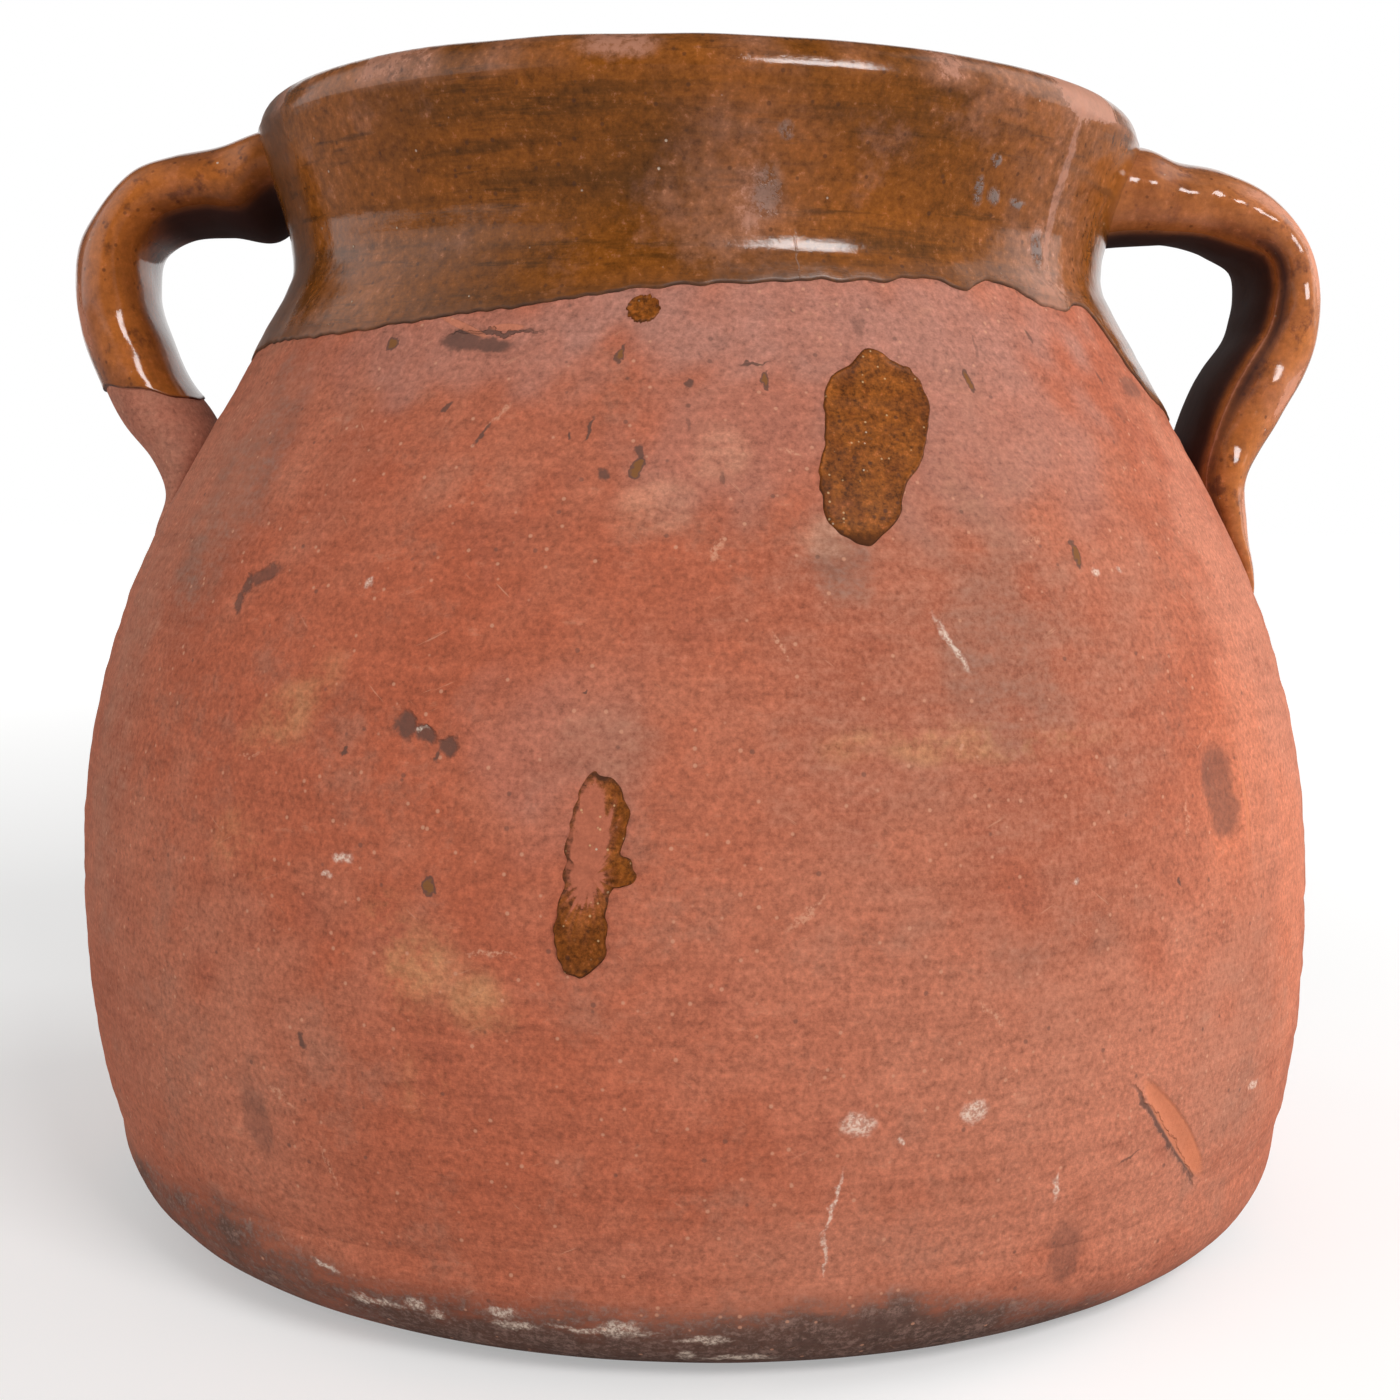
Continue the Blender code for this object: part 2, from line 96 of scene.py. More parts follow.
def spline(knots: Array, values: Array, at: Array) -> Array:
    """Smooth curve through unevenly spaced knots.

    Args:
        knots: Rising places of the knots.
        values: Values at the knots, one row each.
        at: Places to read, of any shape.

    Returns:
        Values at those places, with the values' columns last.
    """
    values = np.asarray(values, float)
    knots = np.asarray(knots, float)
    slopes = np.gradient(values, knots, axis=0)
    flat = np.ravel(at)
    index = np.clip(np.searchsorted(knots, flat, side="right") - 1, 0, len(knots) - 2)
    span = knots[index + 1] - knots[index]
    t = (flat - knots[index]) / span
    if values.ndim > 1:
        span = span[:, None]
        t = t[:, None]
    low = (1 + 2 * t) * (1 - t) ** 2 * values[index] + t * (1 - t) ** 2 * span * slopes[index]
    high = t * t * (3 - 2 * t) * values[index + 1] + t * t * (t - 1) * span * slopes[index + 1]
    return (low + high).reshape(np.shape(at) + values.shape[1:])


class Ripple:
    """Smooth seeded noise on a wall, which closes on itself round the piece."""

    def __init__(self, seed: int, count: int, turns: int, pitch: float) -> None:
        """Draw the waves.

        Args:
            seed: Seed of the draw.
            count: Number of waves.
            turns: Most waves round the piece.
            pitch: Shortest wave along the height.
        """
        draw = np.random.default_rng(seed)
        self.turns = draw.integers(0, turns + 1, count)
        self.rates = draw.uniform(-1, 1, count) * 2 * np.pi / pitch
        self.phases = draw.uniform(0, 2 * np.pi, count)

    def __call__(self, azimuth: Field, height: Field) -> Array:
        """Noise of about -1 to 1 at places on the wall.

        Args:
            azimuth: Places round the piece.
            height: Places along it.

        Returns:
            The noise.
        """
        angle = np.radians(azimuth)
        total = 0.0
        for turns, rate, phase in zip(self.turns, self.rates, self.phases):
            total = total + np.cos(turns * angle + rate * height + phase)
        return total / math.sqrt(len(self.phases))


class Wire:
    """Output of a shader node, on which arithmetic adds Math nodes."""

    def __init__(self, graph: Graph, socket: NodeSocket) -> None:
        """Keep a socket with the graph it belongs to."""
        self.graph = graph
        self.socket = socket

    def _math(self, operation: str, first: Value, second: Value) -> Wire:
        """Wire of a Math node."""
        return self.graph.node("ShaderNodeMath", {"operation": operation}, {0: first, 1: second})

    def __add__(self, other: Value) -> Wire:
        """Sum."""
        return self._math("ADD", self, other)

    __radd__ = __add__

    def __sub__(self, other: Value) -> Wire:
        """Difference."""
        return self._math("SUBTRACT", self, other)

    def __rsub__(self, other: Value) -> Wire:
        """Difference from a number."""
        return self._math("SUBTRACT", other, self)

    def __mul__(self, other: Value) -> Wire:
        """Product."""
        return self._math("MULTIPLY", self, other)

    __rmul__ = __mul__

    def __or__(self, other: Value) -> Wire:
        """Larger of two masks."""
        return self._math("MAXIMUM", self, other)

    __ror__ = __or__

    def __and__(self, other: Value) -> Wire:
        """Smaller of two values."""
        return self._math("MINIMUM", self, other)

    __rand__ = __and__


class Graph:
    """Nodes of a material or of the world."""

    def __init__(self, tree: NodeTree) -> None:
        """Work on a node tree."""
        self.tree = tree
        self.turned: dict[tuple[str, float], Wire] = {}

    def node(
        self, kind: str, settings: dict[str, Any], inputs: dict[Any, Value], output: Any = 0
    ) -> Wire:
        """Add a node.

        Args:
            kind: Blender's name of the node's type.
            settings: Properties, set before the inputs.
            inputs: Wires or values by socket name or index.
            output: Name or index of the output to return.

        Returns:
            Wire of that output.
        """
        made = self.tree.nodes.new(kind)
        for key, value in settings.items():
            setattr(made, key, value)
        for key, value in inputs.items():
            self.feed(made.inputs[key], value)
        return Wire(self, made.outputs[output])

    def feed(self, socket: NodeSocket, value: Value) -> None:
        """Link a wire to a socket, or set a value on it.

        Args:
            socket: Input of a node.
            value: Wire, number, vector or colour.
        """
        if isinstance(value, Wire):
            self.tree.links.new(value.socket, socket)
        elif isinstance(value, tuple) and socket.type == "RGBA" and len(value) == 3:
            socket.default_value = (*value, 1.0)
        else:
            socket.default_value = value

    def mix(self, factor: Value, first: Value, second: Value) -> Wire:
        """Blend of two colours."""
        return self.node("ShaderNodeMix", {"data_type": "RGBA"}, {0: factor, 6: first, 7: second}, 2)

    def tint(self, factor: Value, first: Value, second: Value) -> Wire:
        """First colour multiplied by the second, by a factor."""
        settings = {"data_type": "RGBA", "blend_type": "MULTIPLY"}
        return self.node("ShaderNodeMix", settings, {0: factor, 6: first, 7: second}, 2)

    def step(self, value: Value, low: float, high: float) -> Wire:
        """Soft mask that rises from 0 at low to 1 at high."""
        settings = {"interpolation_type": "SMOOTHSTEP", "clamp": False}
        return self.node("ShaderNodeMapRange", settings, {0: value, 1: low, 2: high})

    def place(self) -> Wire:
        """Place on the object in metres."""
        return self.node("ShaderNodeTexCoord", {}, {}, "Object")

    def chart(self) -> Wire:
        """Place on the unrolled wall in metres."""
        return self.node("ShaderNodeUVMap", {"uv_map": CHART_MAP}, {})

    def scaled(self, vector: Wire, factors: Triple) -> Wire:
        """Vector stretched along each axis."""
        return self.node("ShaderNodeVectorMath", {"operation": "MULTIPLY"}, {0: vector, 1: factors})

    def noise(self, vector: Wire, scale: float, detail: float = 2.0, rough: float = 0.5) -> Wire:
        """Noise of 0 to 1, whose coarsest lumps are one over scale wide."""
        inputs = {"Vector": vector, "Scale": scale, "Detail": detail, "Roughness": rough}
        return self.node("ShaderNodeTexNoise", {}, inputs)

    def specks(self, vector: Wire, scale: float, size: float, share: float) -> Wire:
        """Mask of small scattered dots.

        Args:
            vector: Place on the surface.
            scale: Cells to the metre.
            size: Radius of a dot as a share of a cell.
            share: Share of the cells that have a dot.

        Returns:
            Mask of 0 to 1.
        """
        inputs = {"Vector": vector, "Scale": scale}
        cells = {"feature": "F1"}
        near = self.node("ShaderNodeTexVoronoi", cells, inputs, "Distance")
        chance = self.node("ShaderNodeTexVoronoi", cells, inputs, "Color")
        red = self.node("ShaderNodeSeparateColor", {}, {0: chance}, 0)
        return self.step(near, size, size * 0.5) * self.step(red, share, share * 0.9)

    def paint(self, name: str) -> tuple[Wire, Wire, Wire]:
        """Three masks that were painted on the mesh under one name.

        Args:
            name: Name of the layer.

        Returns:
            The masks.
        """
        colour = self.node("ShaderNodeAttribute", {"attribute_name": name}, {}, "Color")
        split = self.node("ShaderNodeSeparateColor", {}, {0: colour}, 0)
        outputs = split.socket.node.outputs
        return tuple(Wire(self, socket) for socket in outputs[:3])

    def value(self, name: str) -> Wire:
        """One value that was painted on the mesh."""
        return self.node("ShaderNodeAttribute", {"attribute_name": name}, {}, "Fac")

    def away(self, chart: Wire, mark: Mark) -> Wire:
        """Distance from the middle of a mark, which is 1 at its edge.

        Args:
            chart: Place on the unrolled wall.
            mark: The mark.

        Returns:
            The distance.
        """
        turn = round(mark.turn / TURN_STEP) * TURN_STEP
        key = (chart.socket.node.name, turn)
        if key not in self.turned:
            inputs = {"Vector": chart, "Angle": -math.radians(turn)}
            self.turned[key] = self.node("ShaderNodeVectorRotate", {"rotation_type": "Z_AXIS"}, inputs)
        share, shift = mark.fitted(turn)
        inputs = {0: self.turned[key], 1: share, 2: shift}
        local = self.node("ShaderNodeVectorMath", {"operation": "MULTIPLY_ADD"}, inputs)
        return self.node("ShaderNodeVectorMath", {"operation": "LENGTH"}, {0: local}, "Value")

    def nearest(self, chart: Wire, marks: Marks) -> Wire:
        """Distance from the nearest of the marks, which is 1 at its edge.

        Args:
            chart: Place on the unrolled wall.
            marks: The marks.

        Returns:
            The distance.
        """
        total: Value = FAR
        for mark in marks:
            total = self.away(chart, mark) & total
        return total

    def marks(self, chart: Wire, marks: Marks, soft: float) -> Wire:
        """Mask of small crisp marks on the unrolled wall.

        Args:
            chart: Place on the unrolled wall.
            marks: The marks.
            soft: Softness of their edges.

        Returns:
            The mask.
        """
        total: Value = 0.0
        for mark in marks:
            mask = self.step(self.away(chart, mark), 1.0 + soft, 1.0 - soft)
            total = (mask if mark.strength == 1.0 else mask * mark.strength) | total
        return total

    def shaken(self, chart: Wire, place: Wire, scale: float = 240.0, reach: float = 0.0044) -> Wire:
        """Chart places moved about at random, so that marks get ragged edges.

        Args:
            chart: Place on the unrolled wall.
            place: Place on the object.
            scale: Fineness of the noise.
            reach: Twice the farthest move, in metres.

        Returns:
            The moved place.
        """
        inputs = {"Vector": place, "Scale": scale, "Detail": 3.0, "Roughness": 0.65}
        wild = self.node("ShaderNodeTexNoise", {}, inputs, 1)
        middle = (0.5, 0.5, 0.5)
        centred = self.node("ShaderNodeVectorMath", {"operation": "SUBTRACT"}, {0: wild, 1: middle})
        moved = self.scaled(centred, (reach, reach, 0.0))
        return self.node("ShaderNodeVectorMath", {"operation": "ADD"}, {0: chart, 1: moved})

    def bump(self, height: Wire, distance: float) -> Wire:
        """Normal that a height in units of the distance gives."""
        return self.node("ShaderNodeBump", {}, {"Strength": 1.0, "Distance": distance, "Height": height})

    def grey(self, tone: Wire) -> Wire:
        """Grey colour of a tone."""
        return self.node("ShaderNodeCombineColor", {}, {0: tone, 1: tone, 2: tone})

    def rays(self) -> tuple[Wire, Wire, Wire]:
        """Masks of the rays that the camera sends, that gloss mirrors and that pass through glass."""
        kinds = ("Is Camera Ray", "Is Glossy Ray", "Is Transmission Ray")
        return tuple(self.node("ShaderNodeLightPath", {}, {}, kind) for kind in kinds)

    def show(self, shader: Wire, output: str) -> None:
        """Link a shader to the output node of that name."""
        self.tree.links.new(shader.socket, self.tree.nodes[output].inputs["Surface"])


class Recipe(Graph):
    """Node graph of one material."""

    def __init__(self, name: str) -> None:
        """Start a material with a Principled shader.

        Args:
            name: Name of the material.
        """
        self.material = bpy.data.materials.new(name)
        self.material.use_nodes = True
        super().__init__(self.material.node_tree)
        self.shader = self.tree.nodes["Principled BSDF"]

    def finish(self, **sockets: Value) -> Material:
        """Feed the shader's sockets, named with underscores for spaces, and return the material."""
        for key, value in sockets.items():
            self.feed(self.shader.inputs[key.replace("_", " ")], value)
        return self.material


@dataclass(frozen=True)
class Mark:
    """Small crisp mark on the wall.

    Attributes:
        azimuth: Place round the pot, from -84 to 276.
        height: Place above the table.
        half_width: Half its width before it is turned.
        half_height: Half its height before it is turned.
        turn: Turn to the left.
        strength: How strongly it shows.
    """

    azimuth: float
    height: float
    half_width: float
    half_height: float
    turn: float = 0.0
    strength: float = 1.0

    @classmethod
    def many(cls, *rows: tuple[float, ...]) -> Marks:
        """Marks from rows of their values."""
        return tuple(cls(*row) for row in rows)

    def fitted(self, turn: float) -> tuple[Colour, Colour]:
        """Stretch and shift that make the mark a circle of radius 1, on a chart turned back by its turn.

        Args:
            turn: Turn of the mark in degrees.

        Returns:
            Factors and offsets along the chart's axes.
        """
        x, y = math.radians(self.azimuth) * CHART_RADIUS * MM, self.height * MM
        cosine, sine = math.cos(math.radians(turn)), math.sin(math.radians(turn))
        along, across = cosine * x + sine * y, cosine * y - sine * x
        wide, high = 1.0 / (self.half_width * MM), 1.0 / (self.half_height * MM)
        return (wide, high, 0.0), (-along * wide, -across * high, 0.0)


class StainKind(Enum):
    """Soft stains of the fired clay, each with its paint layer and channel."""

    DUST = ("stain", 0)
    BLUSH = ("stain", 1)
    OCHRE = ("stain", 2)
    EMBER = ("wear", 0)
    SCORCH = ("wear", 1)
    PALE = ("wear", 2)
    RUDDY = ("tone", 0)
    FADED = ("tone", 1)


@dataclass(frozen=True)
class Oval:
    """Soft oval on the wall.

    Attributes:
        azimuth: Place round the pot.
        height: Place above the table.
        half_width: Half its width before it is turned.
        half_height: Half its height before it is turned.
        strength: How strongly it shows, or how far it moves the wall outwards.
        turn: Turn to the left.
    """

    azimuth: float
    height: float
    half_width: float
    half_height: float
    strength: float
    turn: float = 0.0

    def weight(self, azimuth: Field, height: Field, ragged: Field) -> Array:
        """Strength of the oval at places on the wall, with a ragged edge.

        Args:
            azimuth: Places round the pot.
            height: Places above the table.
            ragged: Noise that moves its edge.

        Returns:
            Strengths, which are 0 outside it.
        """
        across = np.radians((azimuth - self.azimuth + 180) % 360 - 180) * CHART_RADIUS
        along = height - self.height
        turn = math.radians(self.turn)
        first = (across * math.cos(turn) + along * math.sin(turn)) / self.half_width
        second = (along * math.cos(turn) - across * math.sin(turn)) / self.half_height
        far = np.sqrt(first * first + second * second)
        return self.strength * smooth((1.35 - far + 0.22 * ragged) / 0.9)


@dataclass(frozen=True)
class Stain(Oval):
    """Soft stain of the clay.

    Attributes:
        kind: What made it.
    """

    kind: StainKind = StainKind.DUST

    @classmethod
    def many(cls, kind: StainKind, *rows: tuple[float, ...]) -> tuple[Stain, ...]:
        """Stains of one kind from rows of their other values."""
        return tuple(cls(*row, kind=kind) for row in rows)


@dataclass(frozen=True)
class WallForm:
    """Thrown form of the pot, with the lean and the ripples of hand work.

    Attributes:
        stations: Height, radius and slope of the outer wall from the foot seam to the lip.
        top: Height of the lip's top.
        lip_radius: Rounding of the lip.
        wall: Thickness of the clay in the belly.
        lip_wall: Thickness of the clay at the lip.
        lean: Sideways lean of the top.
        bow: Sideways bow at half height.
        tilt: Rise of the rim per millimetre across.
        rings: Pitch, height and phase of the throwing rings.
        dents: Hollows and lumps of the outer wall.
    """

    stations: tuple[Triple, ...] = (
        (22.7, 136.1, 0.27), (70.0, 142.0, 0.0), (150.0, 125.6, -0.50),
        (200.0, 98.0, -0.56), (212.0, 93.0, 0.0), (241.2, 100.6, 0.22),
    )
    top: float = 247.0
    lip_radius: float = 5.8
    wall: float = 8.0
    lip_wall: float = 11.6
    lean: float = -2.43
    bow: float = -1.34
    tilt: float = 0.0086
    rings: tuple[Triple, ...] = (
        (4.3, 0.050, 0.3), (6.1, 0.060, 2.0), (9.7, 0.085, 4.1), (17.0, 0.10, 5.2),
    )
    dents: tuple[Oval, ...] = ()

    @property
    def waist(self) -> float:
        """Height of the narrowest place of the neck."""
        return self.stations[-2][0]

    @property
    def lip(self) -> float:
        """Height at which the rounding of the lip starts."""
        return self.stations[-1][0]

    def radius(self, height: Field) -> tuple[Array, Array]:
        """Radius and slope of the outer wall at heights.

        Args:
            height: Places above the table.

        Returns:
            Radii, and how fast they grow with the height.
        """
        table = np.array(self.stations)
        height = np.asarray(height, float)
        index = np.clip(np.searchsorted(table[:, 0], height, side="right") - 1, 0, len(table) - 2)
        low, high = table[index], table[index + 1]
        span = high[..., 0] - low[..., 0]
        t = (height - low[..., 0]) / span
        rise = high[..., 1] - low[..., 1]
        bend = low[..., 2] * span - rise
        twist = rise - high[..., 2] * span
        radius = low[..., 1] + t * rise + t * (1 - t) * ((1 - t) * bend + t * twist)
        slope = rise + (1 - 2 * t) * ((1 - t) * bend + t * twist) + t * (1 - t) * (twist - bend)
        return radius, slope / span

    def thickness(self, height: Field) -> Array:
        """Thickness of the clay at heights."""
        share = np.clip((np.asarray(height, float) - self.waist) / (self.lip - self.waist), 0, 1)
        return self.wall + share * (self.lip_wall - self.wall)

    def place(self, azimuth: Field, height: Field, lift: Field) -> Array:
        """Place on the outer wall, lifted off it along its normal."""
        radius, slope = self.radius(height)
        level = 1.0 / np.sqrt(1.0 + slope * slope)
        return self.bent(azimuth, radius + lift * level, height - lift * slope * level)

    def bent(self, azimuth: Field, radius: Field, height: Field) -> Array:
        """Place at a radius and height, with the pot's lean and its tilted rim.

        Args:
            azimuth: Place round the pot.
            radius: Distance from the axis.
            height: Place above the table.

        Returns:
            Places as x, y and z.
        """
        azimuth, radius, height = np.broadcast_arrays(
            np.asarray(azimuth, float), np.asarray(radius, float), np.asarray(height, float)
        )
        angle = np.radians(azimuth)
        share = np.clip(height / self.top, 0, 1)
        x = radius * np.sin(angle) + self.lean * share + self.bow * 4 * share * (1 - share)
        z = height - self.tilt * x * smooth((share - 0.7) / 0.3)
        return np.stack([x, -radius * np.cos(angle), z], axis=-1)

    def relief(self, azimuth: Field, height: Field) -> Array:
        """Throwing rings, soft unevenness and dents, as a lift of the outer wall.

        Args:
            azimuth: Places round the pot.
            height: Places above the table.

        Returns:
            Lifts along the normal.
        """
        azimuth = np.asarray(azimuth, float)
        angle = np.radians(azimuth)
        turn = azimuth / 360.0
        lift = 0.22 * Ripple(11, 14, 4, 60.0)(azimuth, height)
        fade = 0.55 + 0.45 * Ripple(12, 10, 3, 50.0)(azimuth, height)
        rings = 0.0
        for pitch, amount, phase in self.rings:
            wander = 0.7 * np.sin(angle * 2 + phase) + 0.5 * np.sin(angle * 5 - phase)
            rings = rings + amount * np.cos(2 * np.pi * (height / pitch + turn) + phase + wander)
        lift = lift + rings * fade
        for dent in self.dents:
            lift = lift + dent.weight(azimuth, height, 0.0)
        return lift

    def calm(self, height: Field) -> Field:
        """Share of the relief that is left towards the collar's coat and under it."""
        return 0.3 + 0.7 * (1 - smooth((height - 188.0) / 8.0))

    def lip_place(self, azimuth: Field, angle: Field, lift: Field) -> Array:
        """Place round the lip: 0 on its outside, 90 on its top and 180 on its inside.

        Args:
            azimuth: Place round the pot.
            angle: Place round the lip.
            lift: Lift off the clay.

        Returns:
            Places as x, y and z.
        """
        radius, slope = self.radius(self.lip)
        centre = radius - self.lip_wall * math.hypot(1, float(slope)) + self.lip_radius
        turn = np.radians(angle)
        out = self.lip_radius + lift
        return self.bent(azimuth, centre + out * np.cos(turn), self.lip + out * np.sin(turn))

    def inside(self, azimuth: Field, height: Field, lift: Field) -> Array:
        """Place on the inner wall, lifted towards the axis."""
        return self.place(azimuth, height, -self.thickness(height) - lift)


@dataclass(frozen=True)
class Faces:
    """Faces with one number of corners, and where these lie on the two maps.

    Attributes:
        corners: Points of each face.
        chart: Places on the unrolled wall, in millimetres.
        sheet: Places on the baked map.
    """

    corners: Array
    chart: Array
    sheet: Array

    def ordered(self, order: Any) -> Faces:
        """Same faces with their corners in another order."""
        return Faces(self.corners[:, order], self.chart[:, order], self.sheet[:, order])


@dataclass
class Skin:
    """Closed surface as a grid of points, whose columns run round the piece.

    Attributes:
        points: Places in millimetres, as rows, columns and xyz.
        chart: Unrolled places in millimetres, with one more column, and one more row where it loops.
        columns: Left and right edge of each column on the baked map, and its lower edge and height.
        rows: Rising shares of the baked map's height, one for each row of chart.
        loops: Whether the last row joins the first. Otherwise a fan closes each end.
        paints: Values at the points by name, of one or three channels.
    """

    points: Array
    chart: Array
    columns: Columns
    rows: Array
    loops: bool = True
    paints: Paints = field(default_factory=dict)

    def build(self, name: str, material: Material) -> Object:
        """Make the mesh object.

        Args:
            name: Name of the piece.
            material: Its finish.

        Returns:
            Object in the scene's collection.
        """
        rows, count = self.points.shape[:2]
        points = self.points.reshape(-1, 3)
        paints = {key: value.reshape(rows * count, -1) for key, value in self.paints.items()}
        faces = [self.bands()]
        if not self.loops:
            for end in (0, rows - 1):
                ring = np.arange(end * count, (end + 1) * count)
                faces.append(self.fan(end, ring, len(points)))
                points = np.vstack([points, points[ring].mean(axis=0)])
                for key, value in paints.items():
                    paints[key] = np.vstack([value, value[ring].mean(axis=0)])
        if self.volume(points, faces) < 0:
            faces = [part.ordered(slice(None, None, -1)) for part in faces]
        mesh = bpy.data.meshes.new(name)
        self.fill(mesh, points, faces)
        for key, value in paints.items():
            self.attach(mesh, key, value)
        mesh.shade_smooth()
        mesh.set_sharp_from_angle(angle=math.radians(CREASE))
        mesh.materials.append(material)
        made = bpy.data.objects.new(name, mesh)
        bpy.context.scene.collection.objects.link(made)
        return made

    def bands(self) -> Faces:
        """Faces with four corners between the rows.

        Returns:
            The faces, row by row.
        """
        rows, count = self.points.shape[:2]
        row = np.arange(rows if self.loops else rows - 1)[:, None]
        column = np.arange(count)[None, :]
        here, above = row * count, (row + 1) % rows * count
        following = (column + 1) % count
        corners = (here + column, here + following, above + following, above + column)
        around = ((0, 0), (0, 1), (1, 1), (1, 0))
        chart = [self.chart[row + up, column + aside] for up, aside in around]
        left, right, base, span = self.columns
        low, high = base + span * self.rows[:-1, None], base + span * self.rows[1:, None]
        pairs = [((left, right)[aside], (low, high)[up]) for up, aside in around]
        sheet = [np.stack(np.broadcast_arrays(*pair), -1) for pair in pairs]
        return Faces(
            np.stack(np.broadcast_arrays(*corners), -1).reshape(-1, 4),
            np.stack(chart, -2).reshape(-1, 4, 2),
            np.stack(sheet, -2).reshape(-1, 4, 2),
        )

    def fan(self, end: int, ring: Array, hub: int) -> Faces:
        """Faces with three corners that close one end.

        Args:
            end: Row at that end.
            ring: Points of the row.
            hub: Point in the middle of the row.

        Returns:
            Faces that look out of that end.
        """
        left, right, base, span = self.columns
        edge = base + span * self.rows[0 if end == 0 else -1]
        first, second = np.stack([left, edge], -1), np.stack([right, edge], -1)
        here, there = self.chart[end, :-1], self.chart[end, 1:]
        faces = Faces(
            np.stack([ring, np.roll(ring, -1), np.full(len(ring), hub)], -1),
            np.stack([here, there, (there + here) / 2], 1),
            np.stack([first, second, (first + second) / 2], 1),
        )
        return faces.ordered([1, 0, 2]) if end == 0 else faces

    @staticmethod
    def fill(mesh: Mesh, points: Array, faces: list[Faces]) -> None:
        """Give a mesh its points in metres, its faces and its two maps.

        Args:
            mesh: Empty mesh.
            points: Places in millimetres.
            faces: All faces.
        """
        corners = np.concatenate([part.corners.ravel() for part in faces]).astype(np.int32)
        sizes = np.concatenate([np.full(len(part.corners), part.corners.shape[1]) for part in faces])
        mesh.vertices.add(len(points))
        mesh.vertices.foreach_set("co", (points * MM).astype(np.float32).ravel())
        mesh.loops.add(len(corners))
        mesh.loops.foreach_set("vertex_index", corners)
        mesh.polygons.add(len(sizes))
        mesh.polygons.foreach_set("loop_start", (np.cumsum(sizes) - sizes).astype(np.int32))
        mesh.update(calc_edges=True)
        sheets = [part.sheet.reshape(-1, 2) for part in faces]
        charts = [part.chart.reshape(-1, 2) * MM for part in faces]
        for key, parts in ((BAKE_MAP, sheets), (CHART_MAP, charts)):
            layer = mesh.uv_layers.new(name=key)
            layer.uv.foreach_set("vector", np.concatenate(parts).astype(np.float32).ravel())

    @staticmethod
    def attach(mesh: Mesh, name: str, value: Array) -> None:
        """Store painted values on the mesh's points.

        Args:
            mesh: The mesh.
            name: Name of the layer.
            value: Rows of one or three channels.
        """
        if value.shape[1] == 1:
            layer = mesh.attributes.new(name, "FLOAT", "POINT")
            layer.data.foreach_set("value", value.astype(np.float32).ravel())
            return
        layer = mesh.attributes.new(name, "FLOAT_COLOR", "POINT")
        full = np.concatenate([value, np.ones((len(value), 1))], axis=1)
        layer.data.foreach_set("color", full.astype(np.float32).ravel())

    @staticmethod
    def volume(points: Array, faces: list[Faces]) -> float:
        """Signed volume inside the faces.

        Args:
            points: Places of the corners.
            faces: All faces.

        Returns:
            Volume, below 0 where they face inwards.
        """
        total = 0.0
        for part in faces:
            for last in range(2, part.corners.shape[1]):
                a, b, c = (points[part.corners[:, index]] for index in (0, last - 1, last))
                total += float(np.einsum("ij,ij->i", a, np.cross(b, c)).sum() / 6)
        return total


@dataclass(frozen=True)
class Rounds:
    """Columns of a turned piece, closer together on the side that is seen most.

    Attributes:
        front: Azimuth where the close columns end on either side.
        fine: Step between the close columns.
        coarse: Step between the others.
        cut: Azimuth where the front strip of the baked map ends on either side.
        gap: Free edge round a strip of the baked map.
    """

    front: float = 84.0
    fine: float = 0.6
    coarse: float = 1.5
    cut: float = 72.0
    gap: float = 0.003

    def azimuths(self) -> Array:
        """Azimuths of the columns and, last, of the first column one turn on.

        Returns:
            Rising azimuths.
        """
        close = np.arange(-self.front, self.front, self.fine)
        count = round((360 - 2 * self.front) / self.coarse)
        rest = np.linspace(self.front, 360 - self.front, count + 1)
        return np.concatenate([close, rest])

    def columns(self) -> Columns:
        """Edges of the columns on the baked map: the front fills its upper half, the back its lower.

        Returns:
            Left and right edges, lower edges and heights.
        """
        azimuth = self.azimuths()
        left, right = azimuth[:-1], azimuth[1:]
        slack = 1e-6
        front = (left >= -self.cut - slack) & (right <= self.cut + slack)
        left = np.where(front | (left >= 0), left, left + 360)
        right = np.where(front | (right > 0), right, right + 360)
        start = np.where(front, -self.cut, self.cut)
        turn = np.where(front, 2 * self.cut, 360 - 2 * self.cut)
        width = 1 - 2 * self.gap
        edges = [self.gap + width * ((edge - start) / turn) for edge in (left, right)]
        base = np.where(front, 0.5 + self.gap, self.gap)
        return *edges, base, np.full(len(front), 0.5 - 2 * self.gap)


def arc(radius: float, height: float, reach: float, angles: Array) -> list[tuple[float, float]]:
    """Radius and height of places on an arc, where 0 points outwards and -90 down."""
    turns = np.radians(angles)
    return list(zip(radius + reach * np.cos(turns), height + reach * np.sin(turns)))


def row_weights(seen: int, hidden: int, share: float) -> Array:
    """Weights of rows on the baked map: 1 for those that are seen and a share for the hidden ones."""
    return np.concatenate([np.ones(seen - 1), np.full(hidden + 1, share)])


def strip(count: int) -> Columns:
    """Edges of columns that fill the baked map side by side."""
    share = np.linspace(MARGIN, 1 - MARGIN, count + 1)
    return share[:-1], share[1:], np.full(count, MARGIN), np.full(count, 1 - 2 * MARGIN)


def row_shares(points: Array, weights: Array, loops: bool) -> Array:
    """Shares of the baked map's height for rows, by their spacing times a weight.

    Args:
        points: Places as rows, columns and xyz.
        weights: Weight of the band above each row.
        loops: Whether the last row joins the first.

    Returns:
        Rising shares of 0 to 1, one more than the rows where it loops.
    """
    ahead = np.roll(points, -1, axis=0) if loops else points[1:]
    back = points if loops else points[:-1]
    bands = np.linalg.norm(ahead - back, axis=-1).mean(axis=1)
    total = np.concatenate([[0.0], np.cumsum(bands * weights[:len(bands)])])
    return total / total[-1]


# Finishes


